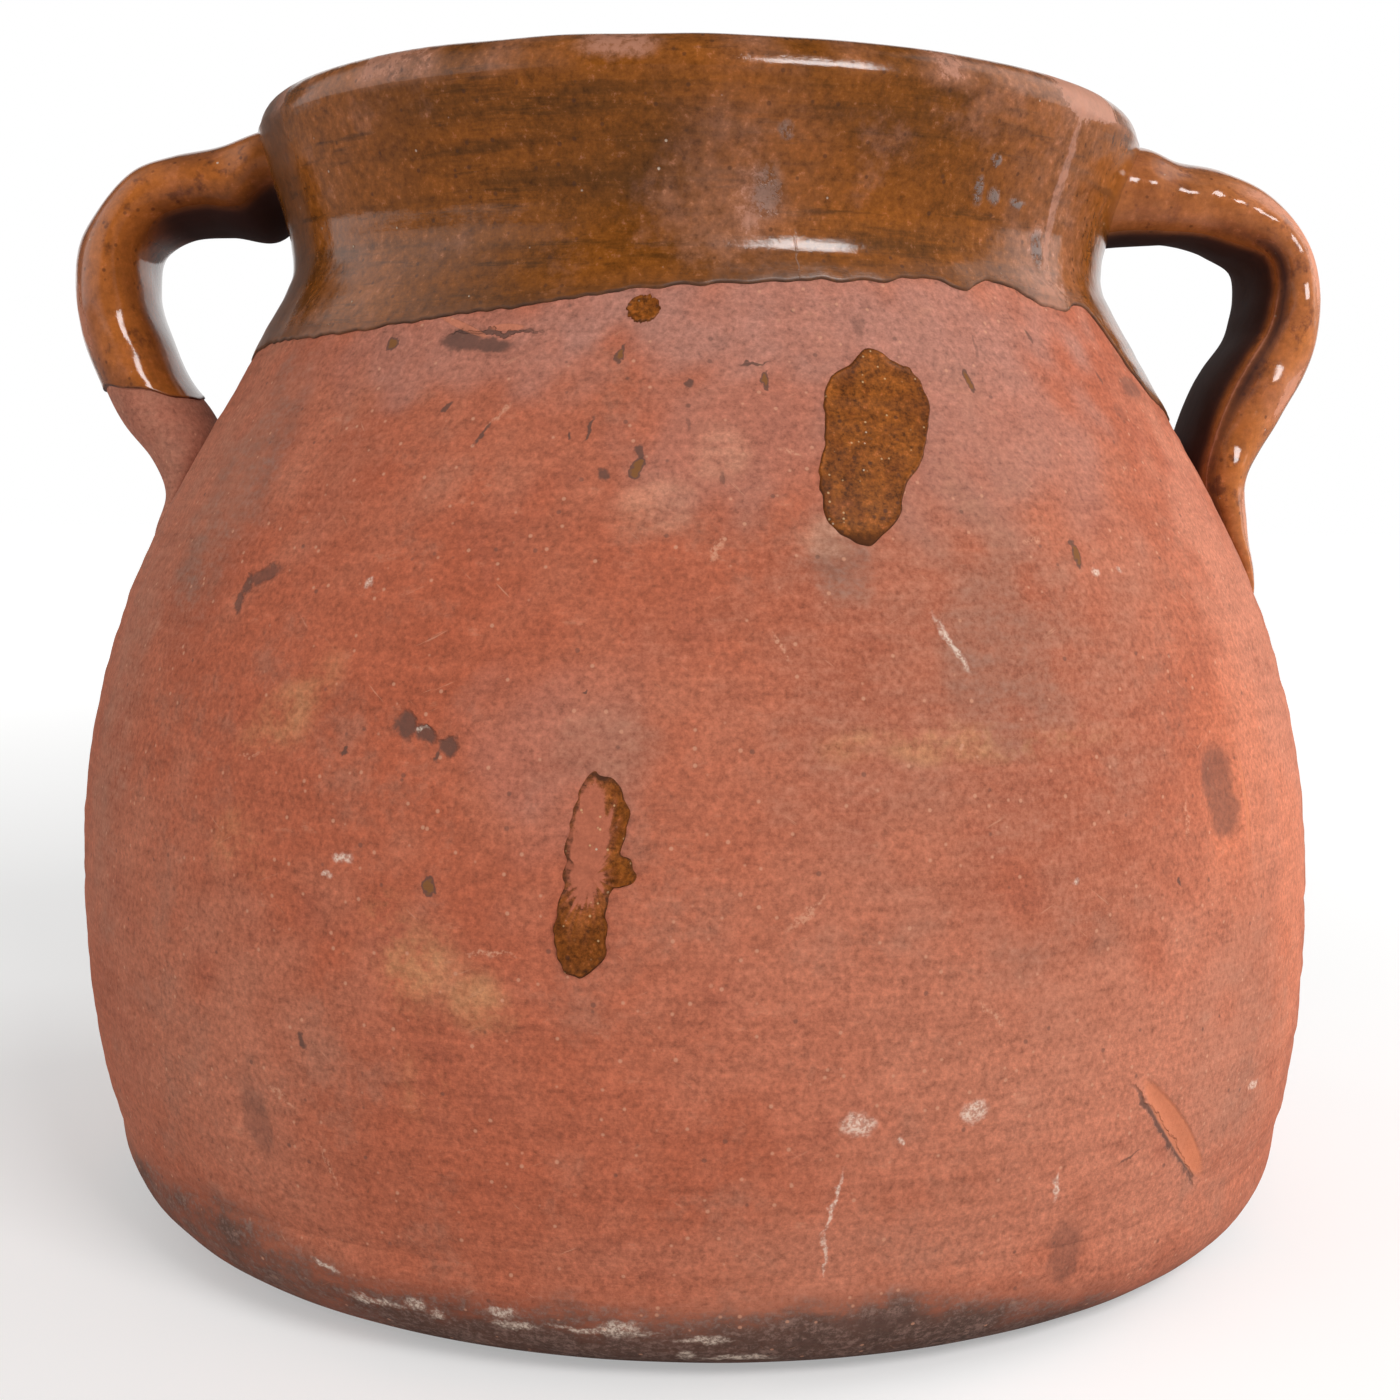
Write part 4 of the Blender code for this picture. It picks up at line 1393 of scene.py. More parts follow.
@dataclass
class ThrownBody:
    """Clay that is thrown on the wheel, and the glaze that is poured over it.

    Attributes:
        form: Outer form.
        rounds: Columns of the pieces.
        clay: Finish of the belly.
        heel: Finish of the base.
        plain: Finish of clay that the glaze hides.
        honey: Finish of the collar's coat.
        lining: Finish of the inside.
        stains: Soft stains of the clay.
        foot: Height of the seam between base and belly.
        floor: Thickness of the floor.
        heel_radius: Rounding of the heel.
        corner: Rounding between the floor and the inner wall.
        hub: Radius of the smallest ring round the axis.
        belly_top: Height of the belly's upper edge.
        neck_low: Height of the neck's lower edge.
        slip: Gap between the clay and the lining.
        coat: Thickness of the glaze.
        bead: Rise and thickness of the collar coat's rounded lower edge.
        scorched: Azimuth and height of the smoked heel's upper edge.
        line: Azimuth and height of the collar coat's lower edge.
    """

    form: WallForm
    rounds: Rounds
    clay: Material
    heel: Material
    plain: Material
    honey: Material
    lining: Material
    stains: tuple[Stain, ...]
    foot: float = 22.7
    floor: float = 10.0
    heel_radius: float = 21.6
    corner: float = 11.0
    hub: float = 4.0
    belly_top: float = 206.0
    neck_low: float = 206.3
    slip: float = 0.3
    coat: float = 0.55
    bead: Table = (
        (0.0, 0.03), (0.06, 0.26), (0.25, 0.44), (0.6, 0.52), (1.6, 0.55), (2.6, 0.55),
    )
    scorched: Table = (
        (-180, 12), (-120, 12), (-60, 23), (-36, 22), (-28, 18), (-10, 16.8),
        (11, 18), (26, 16), (36, 9), (60, 8), (120, 12), (180, 12),
    )
    line: Table = (
        (-180, 197.6), (-150, 196), (-125, 193.2), (-105, 191.2), (-90, 190.6), (-75, 192),
        (-64.4, 193), (-45.3, 193.2), (-34.3, 194.3), (-28.4, 195.4), (-20.1, 196.7), (-12.5, 198.6),
        (-7.6, 199.9), (0.7, 201), (10.7, 202.1), (21.7, 203.1), (30.2, 203.7), (32.5, 202.4),
        (37.5, 204.8), (41.7, 203.7), (46.8, 200.7), (50.8, 200.6), (59.5, 200), (61.5, 195.5),
        (65.6, 185.7), (72, 182), (90, 180), (108, 183), (120, 190), (135, 196),
        (160, 198.4), (180, 197.6),
    )

    @property
    def columns(self) -> Array:
        """Azimuths of the columns."""
        return self.rounds.azimuths()[:-1]

    @property
    def inner(self) -> float:
        """Radius of the inner wall at the foot."""
        return float(self.form.radius(self.foot)[0]) - self.form.wall

    @staticmethod
    def level(table: Table, azimuth: Field) -> Array:
        """Height of an edge that runs round the pot through the rows of a table."""
        knots = np.array(table)
        return spline(knots[:, 0], knots[:, 1], (azimuth + 180) % 360 - 180)

    def painted(self, azimuth: Array, height: Array) -> Paints:
        """Stain layers at places on the wall.

        Args:
            azimuth: Places round the pot.
            height: Places above the table.

        Returns:
            Layers by name.
        """
        ragged = Ripple(21, 40, 60, 13.0)(azimuth, height)
        shape = np.broadcast(azimuth, height).shape
        layers = {name: np.zeros(shape + (3,)) for name in LAYERS}
        for stain in self.stains:
            name, channel = stain.kind.value
            layer = layers[name][..., channel]
            np.maximum(layer, stain.weight(azimuth, height, ragged), out=layer)
        wavy = 1.6 * Ripple(22, 30, 40, 20.0)(azimuth, height)
        fired = smooth((self.level(self.scorched, azimuth) + 5.0 - height + wavy) / 13.0)
        fired = fired * (1 - 0.22 * smooth((-22 - azimuth) / 8) * smooth((azimuth + 90) / 30))
        self.smoke(layers, 0.9 * fired)
        return layers

    @staticmethod
    def smoke(layers: Paints, strength: Array) -> None:
        """Darken stain layers by smoke, where it is stronger than what is there."""
        name, channel = StainKind.SCORCH.value
        layer = layers[name][..., channel]
        np.maximum(layer, strength, out=layer)

    def turned(
        self, name: str, rows: list[Array], heights: list[Field], weights: Iterable[float],
        material: Material, loops: bool, paints: Paints,
    ) -> Object:
        """Turned piece from rows of places.

        Args:
            name: Name of the piece.
            rows: Rows of places, bottom first.
            heights: Height on the wall of each row, for the chart.
            weights: Weight of the band above each row on the baked map.
            material: Its finish.
            loops: Whether the last row joins the first.
            paints: Painted values by name.

        Returns:
            The piece.
        """
        azimuth = self.rounds.azimuths()
        points = np.stack(rows)
        if loops:
            heights = heights + [heights[0]]
        chart = np.zeros((len(heights), len(azimuth), 2))
        chart[..., 0] = np.radians(azimuth) * CHART_RADIUS
        for index, height in enumerate(heights):
            chart[index, :-1, 1] = height
            chart[index, -1, 1] = chart[index, 0, 1]
        shares = row_shares(points, np.array(weights), loops)
        skin = Skin(points, chart, self.rounds.columns(), shares, loops, paints)
        return skin.build(name, material)

    def base_profile(self) -> tuple[list[tuple[float, float]], int, int]:
        """Radius and height of the base's rows, from the middle of its underside to that of its floor.

        Returns:
            The rows, how many of them lie under the pot, and how many can be seen from outside.
        """
        outer = float(self.form.radius(self.foot)[0])
        heel, corner = self.heel_radius, self.corner
        flat = np.linspace(self.hub, 108, 27)
        rows = [(radius, 0.35 * smooth((100 - radius) / 30)) for radius in flat]
        under = len(rows)
        rows += arc(outer - heel, heel, heel, np.linspace(-90, 0, 22))
        rows += [(outer, self.foot - 0.4), (outer, self.foot)]
        seen = len(rows)
        rows += [(outer - 0.5, self.foot), (outer - 0.6, self.foot - 0.5)]
        rows += [(self.inner + self.slip, self.foot - 0.8)]
        behind = np.linspace(0, -90, 10)
        rows += arc(self.inner - corner, self.floor + corner, corner + self.slip, behind)
        rows += [(self.hub, self.floor - self.slip)]
        return rows, under, seen

    def base(self) -> Object:
        """Floor, rounded heel and foot band.

        Returns:
            The piece.
        """
        azimuth = self.columns
        profile, under, seen = self.base_profile()
        uneven = Ripple(31, 30, 40, 16.0)
        broad = Ripple(32, 14, 7, 40.0)
        rows = []
        heights = []
        for index, (radius, height) in enumerate(profile):
            along = height - max(0.0, 115.0 - radius)
            lift = np.zeros_like(azimuth)
            if index < seen:
                fade = min(1.0, height / 4.0) * float(smooth((self.foot - height) / 4.0))
                lift = fade * (0.10 * uneven(azimuth, along) + 0.28 * broad(azimuth, along))
            rows.append(self.form.bent(azimuth, radius + lift, height))
            heights.append(along)
        weights = [0.5] * under + [1.0] * (seen - under) + [0.05] * (len(profile) - seen)
        levels = np.array(heights)[:, None]
        paints = self.painted(azimuth[None, :], np.maximum(levels, 0.0))
        self.smoke(paints, 0.55 * smooth(-levels / 10.0))
        return self.turned("thrown_base", rows, heights, weights, self.heel, False, paints)

    def belly(self) -> Object:
        """Barrel wall from the foot seam to the root of the neck.

        Returns:
            The piece.
        """
        azimuth = self.columns
        foot, top = self.foot, self.belly_top
        fine = Ripple(33, 30, 90, 7.0)
        outside = [foot + 0.01, foot + 0.3, *np.linspace(foot + 1.2, top, 155)]
        inside = list(np.linspace(top, foot + 0.01, 26))
        rows = []
        for height in outside:
            relief = self.form.relief(azimuth, height) + 0.03 * fine(azimuth, height)
            near = smooth((height - foot) / 6.0)
            rows.append(self.form.place(azimuth, height, relief * near * self.form.calm(height)))
        for height in inside:
            rows.append(self.form.inside(azimuth, height, -self.slip))
        heights = outside + inside
        weights = row_weights(len(outside), len(inside), 0.03)
        paints = self.painted(azimuth[None, :], np.array(heights)[:, None])
        return self.turned("thrown_belly", rows, heights, weights, self.clay, True, paints)

    def neck(self) -> Object:
        """Flared neck with its rounded lip.

        Returns:
            The piece.
        """
        azimuth, form = self.columns, self.form
        up = np.linspace(self.neck_low, form.lip, 20)
        over = np.linspace(15, 165, 11)
        down = np.linspace(form.lip, self.neck_low, 12)
        rows = [form.place(azimuth, height, 0.0) for height in up]
        rows += [form.lip_place(azimuth, angle, 0.0) for angle in over]
        rows += [form.inside(azimuth, height, 0.0) for height in down]
        heights = [*up, *[form.lip + form.lip_radius] * len(over), *down]
        weights = np.ones(len(rows))
        return self.turned("thrown_neck", rows, heights, weights, self.plain, True, {})

    def lining_rows(self, lift: float, waves: float) -> list[Array]:
        """Rows of the lining from the middle of the floor up to the lip.

        Args:
            lift: Lift off the clay.
            waves: Strength of the throwing rings.

        Returns:
            Rows of places.
        """
        azimuth, form = self.columns, self.form
        angle = np.radians(azimuth)
        uneven = Ripple(34, 20, 12, 30.0)
        flat = self.inner - self.corner
        rows = []
        for radius in np.linspace(self.hub, flat, 22)[:-1]:
            swirl = waves * np.cos(2 * np.pi * (radius / 7.0) + angle)
            rows.append(form.bent(azimuth, radius, self.floor + lift + 0.35 * swirl))
        turns = np.linspace(-90, 0, 9)
        for radius, height in arc(flat, self.floor + self.corner, self.corner - lift, turns):
            rows.append(form.bent(azimuth, radius, height))
        for height in np.linspace(self.foot + 1.5, form.lip - 0.1, 64):
            ring = 0.5 * np.cos(2 * np.pi * height / 8.3 + angle) + uneven(azimuth, height)
            rows.append(form.inside(azimuth, height, lift + 0.25 * (waves * ring)))
        return rows

    def lining_glaze(self) -> Object:
        """Glaze over the floor and the inner wall.

        Returns:
            The piece.
        """
        face = self.lining_rows(self.coat, 1.0)
        back = self.lining_rows(0.02, 0.0)[::-1]
        rows = face + back
        heights = [float(row[:, 2].mean()) for row in rows]
        weights = row_weights(len(face), len(back), 0.02)
        levels = np.array(heights)[:, None]
        thick = smooth(0.5 + 0.5 * Ripple(35, 20, 10, 50.0)(self.columns[None, :], levels))
        none = np.zeros_like(thick)
        paints = {"coat": np.stack([thick, none, none], -1), "edge": none}
        return self.turned("glaze_lining", rows, heights, weights, self.lining, False, paints)

    def collar_glaze(self) -> Object:
        """Coat over the lip and the outside of the neck, down to its wavy edge.

        Returns:
            The piece.
        """
        azimuth, form = self.columns, self.form
        lip = form.lip
        edge = self.level(self.line, azimuth) + 0.22 * Ripple(36, 24, 160, ENDLESS)(azimuth, 0.0)
        uneven = Ripple(37, 30, 26, 14.0)
        top = self.bead[-1][0]
        outside = [(edge + rise, lift) for rise, lift in self.bead]
        for share in np.linspace(0, 1, 46)[1:]:
            outside.append((edge + top + share * (lip - edge - top), self.coat))
        rows = []
        heights = []
        for height, lift in outside:
            clay = form.relief(azimuth, height) * form.calm(height)
            wander = 0.6 * np.sin(np.radians(3 * azimuth))
            ring = 0.05 * np.cos(2 * np.pi * (height / 7.9 + azimuth / 360) + wander)
            ring = ring + 0.03 * np.cos(2 * np.pi * height / 4.7 + 1.3 + np.radians(azimuth))
            own = smooth((height - edge) / 6.0) * smooth((lip - height) / 4.0)
            mixed = clay * (1 - own) + own * (ring + 0.05 * uneven(azimuth, height))
            rows.append(form.place(azimuth, height, lift + mixed))
            heights.append(height)
        for angle in np.linspace(0, 180, 21)[1:]:
            high = math.sin(math.radians(angle))
            soft = 0.10 * uneven(azimuth, lip + angle / 9)
            rows.append(form.lip_place(azimuth, angle, self.coat + soft * high))
            heights.append(lip + form.lip_radius * high)
        seen = len(rows)
        for angle in np.linspace(180, 0, 9):
            rows.append(form.lip_place(azimuth, angle, 0.03))
            heights.append(lip)
        for share in np.linspace(1, 0, 14)[1:]:
            level = edge + 0.05 + share * (lip - edge)
            rows.append(form.place(azimuth, level, -0.05))
            heights.append(level)
        levels = np.stack([np.broadcast_to(height, azimuth.shape) for height in heights])
        rises = np.full(levels.shape, np.inf)
        rises[:len(outside)] = levels[:len(outside)] - edge
        weights = row_weights(seen, len(rows) - seen, 0.03)
        paints = self.collar_paints(levels, rises)
        return self.turned("glaze_collar", rows, heights, weights, self.honey, True, paints)

    def collar_paints(self, levels: Array, rises: Array) -> Paints:
        """Paint of the collar's coat.

        Args:
            levels: Heights of its points.
            rises: Their heights above the lower edge.

        Returns:
            Thick places; worn places, which at the sides of the neck also hold a painted sheen; dark
            places, among them a painted dark reflection beside the left strap; and the line along the
            edge.
        """
        azimuth = np.broadcast_to(self.columns, levels.shape)
        thick = smooth(0.55 + 0.6 * Ripple(38, 26, 12, 30.0)(azimuth, levels))
        thick = np.maximum(thick * 0.6, bell(azimuth, -9, 14) * bell(levels, 224, 16))
        worn = 0.62 * bell(azimuth, 6.5, 6.0) * bell(levels, 222, 15, 4)
        # The humps at azimuths 51 and -48 are worn glaze and also a painted sheen of the pale
        # surroundings.
        worn = worn + 0.62 * bell(azimuth, 51, 10) + 0.15 * bell(azimuth, -48, 10)
        patchy = smooth(0.4 + 0.6 * Ripple(39, 20, 40, 30.0)(azimuth, levels))
        worn = worn + 0.60 * smooth((levels - self.form.lip + 2.5) / 3.0) * patchy
        # The band at azimuth -67 is a painted dark reflection beside the left strap; the rest darkens
        # the coat near its lower edge.
        dark = np.maximum(0.25 * smooth((6.0 - rises) / 6.0), 0.5 * bell(azimuth, -67, 7, 4))
        coat = np.stack([thick, np.clip(worn, 0, 1), dark], -1)
        return {"coat": coat, "edge": smooth((0.55 - rises) / 0.4)}


@dataclass
class Strap:
    """Pulled strap handle and its coat of glaze.

    Attributes:
        word: Side of the pot.
        outer: Reach and height of the outer face along the strap, from the neck down to the shoulder.
        inner: Reach and height of the inner face, opposite those places.
        widths: Width of the strap at those places.
        rolls: Turn of the strap about its own length at those places.
        power: Boxiness of the section, where 2 is an ellipse.
        pad: Thickness that the rounding of the section takes up on each face.
        ridge: Height of the ridge along the near edge.
        ridge_at: Angle round the section at which the ridge runs.
        lumps: Unevenness of the clay.
        seed: Seed of the unevenness.
        bare_from: Height of the coat's lower edge, or None where the whole strap is coated.
        clay: Finish of the clay.
        amber: Finish of the coat.
        coat: Thickness of the coat.
    """

    word: str
    outer: Table
    inner: Table
    widths: tuple[float, ...]
    rolls: tuple[float, ...]
    power: float
    pad: float
    ridge: float
    ridge_at: float
    lumps: float
    seed: int
    bare_from: float | None
    clay: Material
    amber: Material
    coat: float = 0.5

    def knots(self) -> Array:
        """Length along the middle of the strap at its places."""
        middle = (np.array(self.outer) + np.array(self.inner)) / 2
        steps = np.hypot(*np.diff(middle, axis=0).T)
        return np.concatenate([[0.0], np.cumsum(steps)])

    def surface(self, length: Array, angle: Array, lift: Field) -> Array:
        """Places on the strap.

        Args:
            length: Length along the strap.
            angle: Angle round its section: 0 on the outer face and -90 on the edge towards the camera.
            lift: Lift off the clay.

        Returns:
            Places in millimetres.
        """
        knots = self.knots()
        outer = spline(knots, np.array(self.outer), length)
        inner = spline(knots, np.array(self.inner), length)
        width = spline(knots, np.array(self.widths), length)
        roll = np.radians(spline(knots, np.array(self.rolls), length))
        across = outer - inner
        thick = np.linalg.norm(across, axis=-1)
        across = across / thick[..., None]
        flat = np.zeros_like(thick)
        normal = np.stack([across[..., 0], flat, across[..., 1]], -1)
        level = np.array([0.0, 1.0, 0.0])
        cosine, sine = np.cos(roll)[..., None], np.sin(roll)[..., None]
        side = level * cosine + normal * sine
        face = normal * cosine - level * sine
        turn = np.radians(angle)
        bend = 2.0 / self.power
        out = np.sign(np.cos(turn)) * np.abs(np.cos(turn)) ** bend
        along = np.sign(np.sin(turn)) * np.abs(np.sin(turn)) ** bend
        uneven = self.lumps * Ripple(self.seed, 26, 5, 16.0)(angle, length)
        knotty = 1 + 0.6 * Ripple(self.seed + 3, 14, 1, 9.0)(0.0, length)
        grow = lift + uneven + self.ridge * knotty * bell(angle, self.ridge_at, 13.0)
        middle = (outer + inner) / 2
        centre = np.stack([middle[..., 0], flat, middle[..., 1]], -1)
        places = centre + face * (out * (thick / 2 + self.pad + grow))[..., None]
        return places + side * (along * (width / 2 + grow))[..., None]

    def angles(self) -> Array:
        """Angles round the section and, last, the first one again."""
        return np.linspace(-180, 180, 73)

    def skin(
        self, length: Array, lift: Array, loops: bool, weights: Array,
        paints: Paints,
    ) -> Skin:
        """Closed surface of the strap or of its coat.

        Args:
            length: Length along the strap, by rows and columns.
            lift: Lift off the clay.
            loops: Whether the last row joins the first.
            weights: Weight of the band above each row on the baked map.
            paints: Painted values by name.

        Returns:
            The surface.
        """
        angle = self.angles()
        points = self.surface(length, np.broadcast_to(angle[:-1], length.shape), lift)
        wrapped = np.vstack([length, length[:1]]) if loops else length
        chart = np.zeros((len(wrapped), len(angle), 2))
        chart[..., 0] = angle / 3.0
        chart[:, :-1, 1] = wrapped
        chart[:, -1, 1] = wrapped[:, 0]
        shares = row_shares(points, weights, loops)
        return Skin(points, chart, strip(len(angle) - 1), shares, loops, paints)

    def body(self) -> Object:
        """Clay strap, whose ends lie inside the wall.

        Returns:
            The piece.
        """
        rows = np.linspace(0, self.knots()[-1], 120)
        length = np.repeat(rows[:, None], len(self.angles()) - 1, axis=1)
        shape = length.shape
        stain = np.broadcast_to((0.35, 0.35, 0.0), shape + (3,))
        paints = {"stain": stain, "wear": np.zeros(shape + (3,))}
        skin = self.skin(length, np.full(shape, -0.05), False, np.ones(shape[0]), paints)
        return skin.build("pulled_strap_" + self.word, self.clay)

    def coated_to(self) -> Array:
        """Length along the strap where the coat ends, for each angle.

        Returns:
            One length for each column.
        """
        total = self.knots()[-1]
        angle = self.angles()[:-1]
        if self.bare_from is None:
            return np.full_like(angle, total)
        rows = np.linspace(0.4 * total, total, 400)
        middle = (np.array(self.outer)[:, 1] + np.array(self.inner)[:, 1]) / 2
        heights = spline(self.knots(), middle, rows)
        found = rows[int(np.argmin(np.abs(heights - self.bare_from)))]
        turn = np.radians(angle)
        sag = 2.6 * np.sin(turn) * np.cos(turn) - 1.4 * np.cos(turn)
        return found + sag + 0.7 * Ripple(self.seed + 1, 14, 9, ENDLESS)(angle, 0.0)

    def glaze(self) -> Object:
        """Coat round the strap, which ends in a rounded edge.

        Returns:
            The piece.
        """
        end = self.coated_to()
        even = np.linspace(0, 1, 130)[:-1] * 0.985
        face = np.concatenate([even, [0.988, 0.992, 0.995, 0.9975, 0.9992, 1.0]])
        lifts = self.coat * np.ones_like(face)
        if self.bare_from is not None:
            lifts[-6:] = self.coat * np.array([1.08, 1.15, 1.15, 1.0, 0.65, 0.08])
        back = np.linspace(1, 0, 40)
        length = np.concatenate([face, back])[:, None] * end
        lift = np.concatenate([lifts, np.zeros_like(back)])[:, None] * np.ones_like(end)
        line = np.zeros_like(length)
        if self.bare_from is not None:
            seen = slice(0, len(face))
            line[seen] = smooth((0.9 - (end - length[seen])) / 0.6)
        paints = {"coat": self.coat_paint(length), "edge": line}
        weights = row_weights(len(face), len(back), 0.03)
        skin = self.skin(length, lift, True, weights, paints)
        return skin.build("glaze_strap_" + self.word, self.amber)

    def coat_paint(self, length: Array) -> Array:
        """Thick, worn and dark places of the coat, among them painted shade and painted highlights.

        Args:
            length: Lengths along the strap, by rows and columns.

        Returns:
            Three masks, last axis.
        """
        angle = np.broadcast_to(self.angles()[:-1], length.shape)
        uneven = Ripple(self.seed + 2, 26, 4, 22.0)(angle, length)
        thick = 0.6 * smooth(0.35 + 0.6 * uneven)
        # Painted shade on the inner face, which faces the neck.
        inside = 0.95 * smooth((np.abs(angle) - 122) / 16.0)
        if self.bare_from is not None:
            # Left strap: painted shade that darkens the section towards its inner side, carried as thick
            # glaze, and painted shade on the inner face under the arm.
            turned = smooth((-angle - 84) / 44) * np.clip(0.85 + 0.4 * uneven, 0, 1)
            worn = 0.75 * bell(angle, -36, 26) * bell(length, 67, 14)
            return np.stack([np.maximum(thick, turned), worn, inside * smooth((46 - length) / 12)], -1)
        arm = smooth((34 - length) / 12)
        # Painted shade along the edge that faces the neck, carried as thick glaze.
        shade = bell(angle, -110, 15) * np.clip(0.9 + 0.4 * uneven, 0, 1)
        thick = np.maximum(0.5 * thick, shade * (1 - 0.7 * arm))
        thick = np.maximum(thick, 0.50 * arm * smooth((angle + 105) / 20))
        # Worn glaze on the outer side, which also holds a painted sheen.
        worn = 0.76 * bell(angle, -60, 25) * np.clip(0.8 + 0.5 * uneven, 0, 1) * (1 - 0.5 * arm)
        worn = np.maximum(worn, 0.45 * arm * bell(angle, -106, 13))
        # Painted highlight: a pale line along the inner edge, carried as worn glaze.
        worn = np.maximum(worn, 0.8 * bell(angle, -120, 4) * smooth((length - 45) / 15))
        # Painted shade band beside the painted highlight line, carried in the dark channel.
        band = bell(angle, -111, 8) * smooth((length - 34) / 14)
        dark = np.maximum(inside, 0.85 * band * np.clip(0.85 + 0.5 * uneven, 0, 1))
        return np.stack([thick, worn, dark], -1)


@dataclass(frozen=True)
class Splash:
    """Drip of glaze that ran and fired on the bare belly.

    Attributes:
        word: Which drip it is.
        outline: Azimuth and height of points round it.
        thick: Thickness of the glaze in the middle.
        bead: Thickness of its rounded edge.
        crust: How dark the crust at its lower tip is.
        seed: Seed of the unevenness.
        bare: Where the glaze has flaked off the clay.
        rings: Rows between the middle and the edge.
        points: Columns round the edge.
    """

    word: str
    outline: Table
    thick: float
    bead: float
    crust: float
    seed: int
    bare: Oval | None = None
    rings: int = 26
    points: int = 150

    def edge(self) -> Array:
        """Smooth ragged outline as azimuth and height.

        Returns:
            One row for each column.
        """
        corners = np.array(self.outline + self.outline[:1])
        steps = np.diff(corners, axis=0) * (2.3, 1.0)
        knots = np.concatenate([[0.0], np.cumsum(np.hypot(*steps.T))])
        padded = np.vstack([corners[-3:-1], corners, corners[1:3]])
        before = knots[-3:-1] - knots[-1]
        after = knots[1:3] + knots[-1]
        at = np.linspace(0, knots[-1], self.points, endpoint=False)
        found = spline(np.concatenate([before, knots, after]), padded, at)
        turn = np.linspace(0, 360, self.points, endpoint=False)
        return found + (0.12, 0.22) * Ripple(self.seed, 18, 34, ENDLESS)(turn, 0.0)[:, None]

    def piece(self, form: WallForm, material: Material) -> Object:
        """Closed patch that lies on the wall.

        Args:
            form: The wall.
            material: Finish of the glaze.

        Returns:
            The piece.
        """
        edge = self.edge()
        middle = edge.mean(axis=0)
        aside = np.radians(edge[:, 0] - middle[0]) * CHART_RADIUS
        reach = np.hypot(aside, edge[:, 1] - middle[1])
        turn = np.linspace(0, 360, self.points, endpoint=False)
        full = [share * (1 - 1.1 / reach) for share in np.linspace(0.05, 1.0, self.rings)]
        full += [1 - gap / reach for gap in (0.75, 0.5, 0.3, 0.16, 0.06, 0.0)]
        seen = len(full)
        shares = np.stack(full + [share * np.ones_like(reach) for share in (0.995, 0.6, 0.05)])
        spots = middle + shares[..., None] * (edge - middle)
        gaps = (1 - shares) * reach
        turns = np.broadcast_to(turn, shares.shape)
        clay = form.relief(spots[..., 0], spots[..., 1])
        bare = np.zeros_like(shares)
        if self.bare is not None:
            ragged = Ripple(self.seed + 1, 30, 30, 6.0)(turns, gaps)
            bare = self.bare.weight(spots[..., 0], spots[..., 1], 0.5 * ragged)
        wave = 1 + 0.10 * Ripple(self.seed + 2, 26, 8, 6.0)(turns, gaps)
        bead = self.bead * bell(gaps, 0.5, 0.4)
        lift = (self.thick * wave + bead) * smooth(gaps / 0.45) * (1 - 0.8 * bare)
        lift[seen:] = -0.6
        points = form.place(spots[..., 0], spots[..., 1], clay + lift + 0.01)
        wrapped = np.concatenate([spots, spots[:, :1]], axis=1)
        chart = np.stack([np.radians(wrapped[..., 0]) * CHART_RADIUS, wrapped[..., 1]], -1)
        weights = row_weights(seen, len(shares) - seen, 0.05)
        thick = smooth(0.4 + 0.6 * Ripple(self.seed + 3, 26, 7, 7.0)(turns, gaps))
        line = smooth((0.55 + 1.2 * bare - gaps) / 0.4)
        low = (middle[1] - spots[..., 1]) / (middle[1] - edge[:, 1].min())
        dark = self.crust * smooth((low - 0.80) / 0.15)
        paints = {"coat": np.stack([thick, bare, dark], -1), "edge": line}
        rows = row_shares(points, weights, False)
        skin = Skin(points, chart, strip(self.points), rows, False, paints)
        return skin.build("glaze_splash_" + self.word, material)


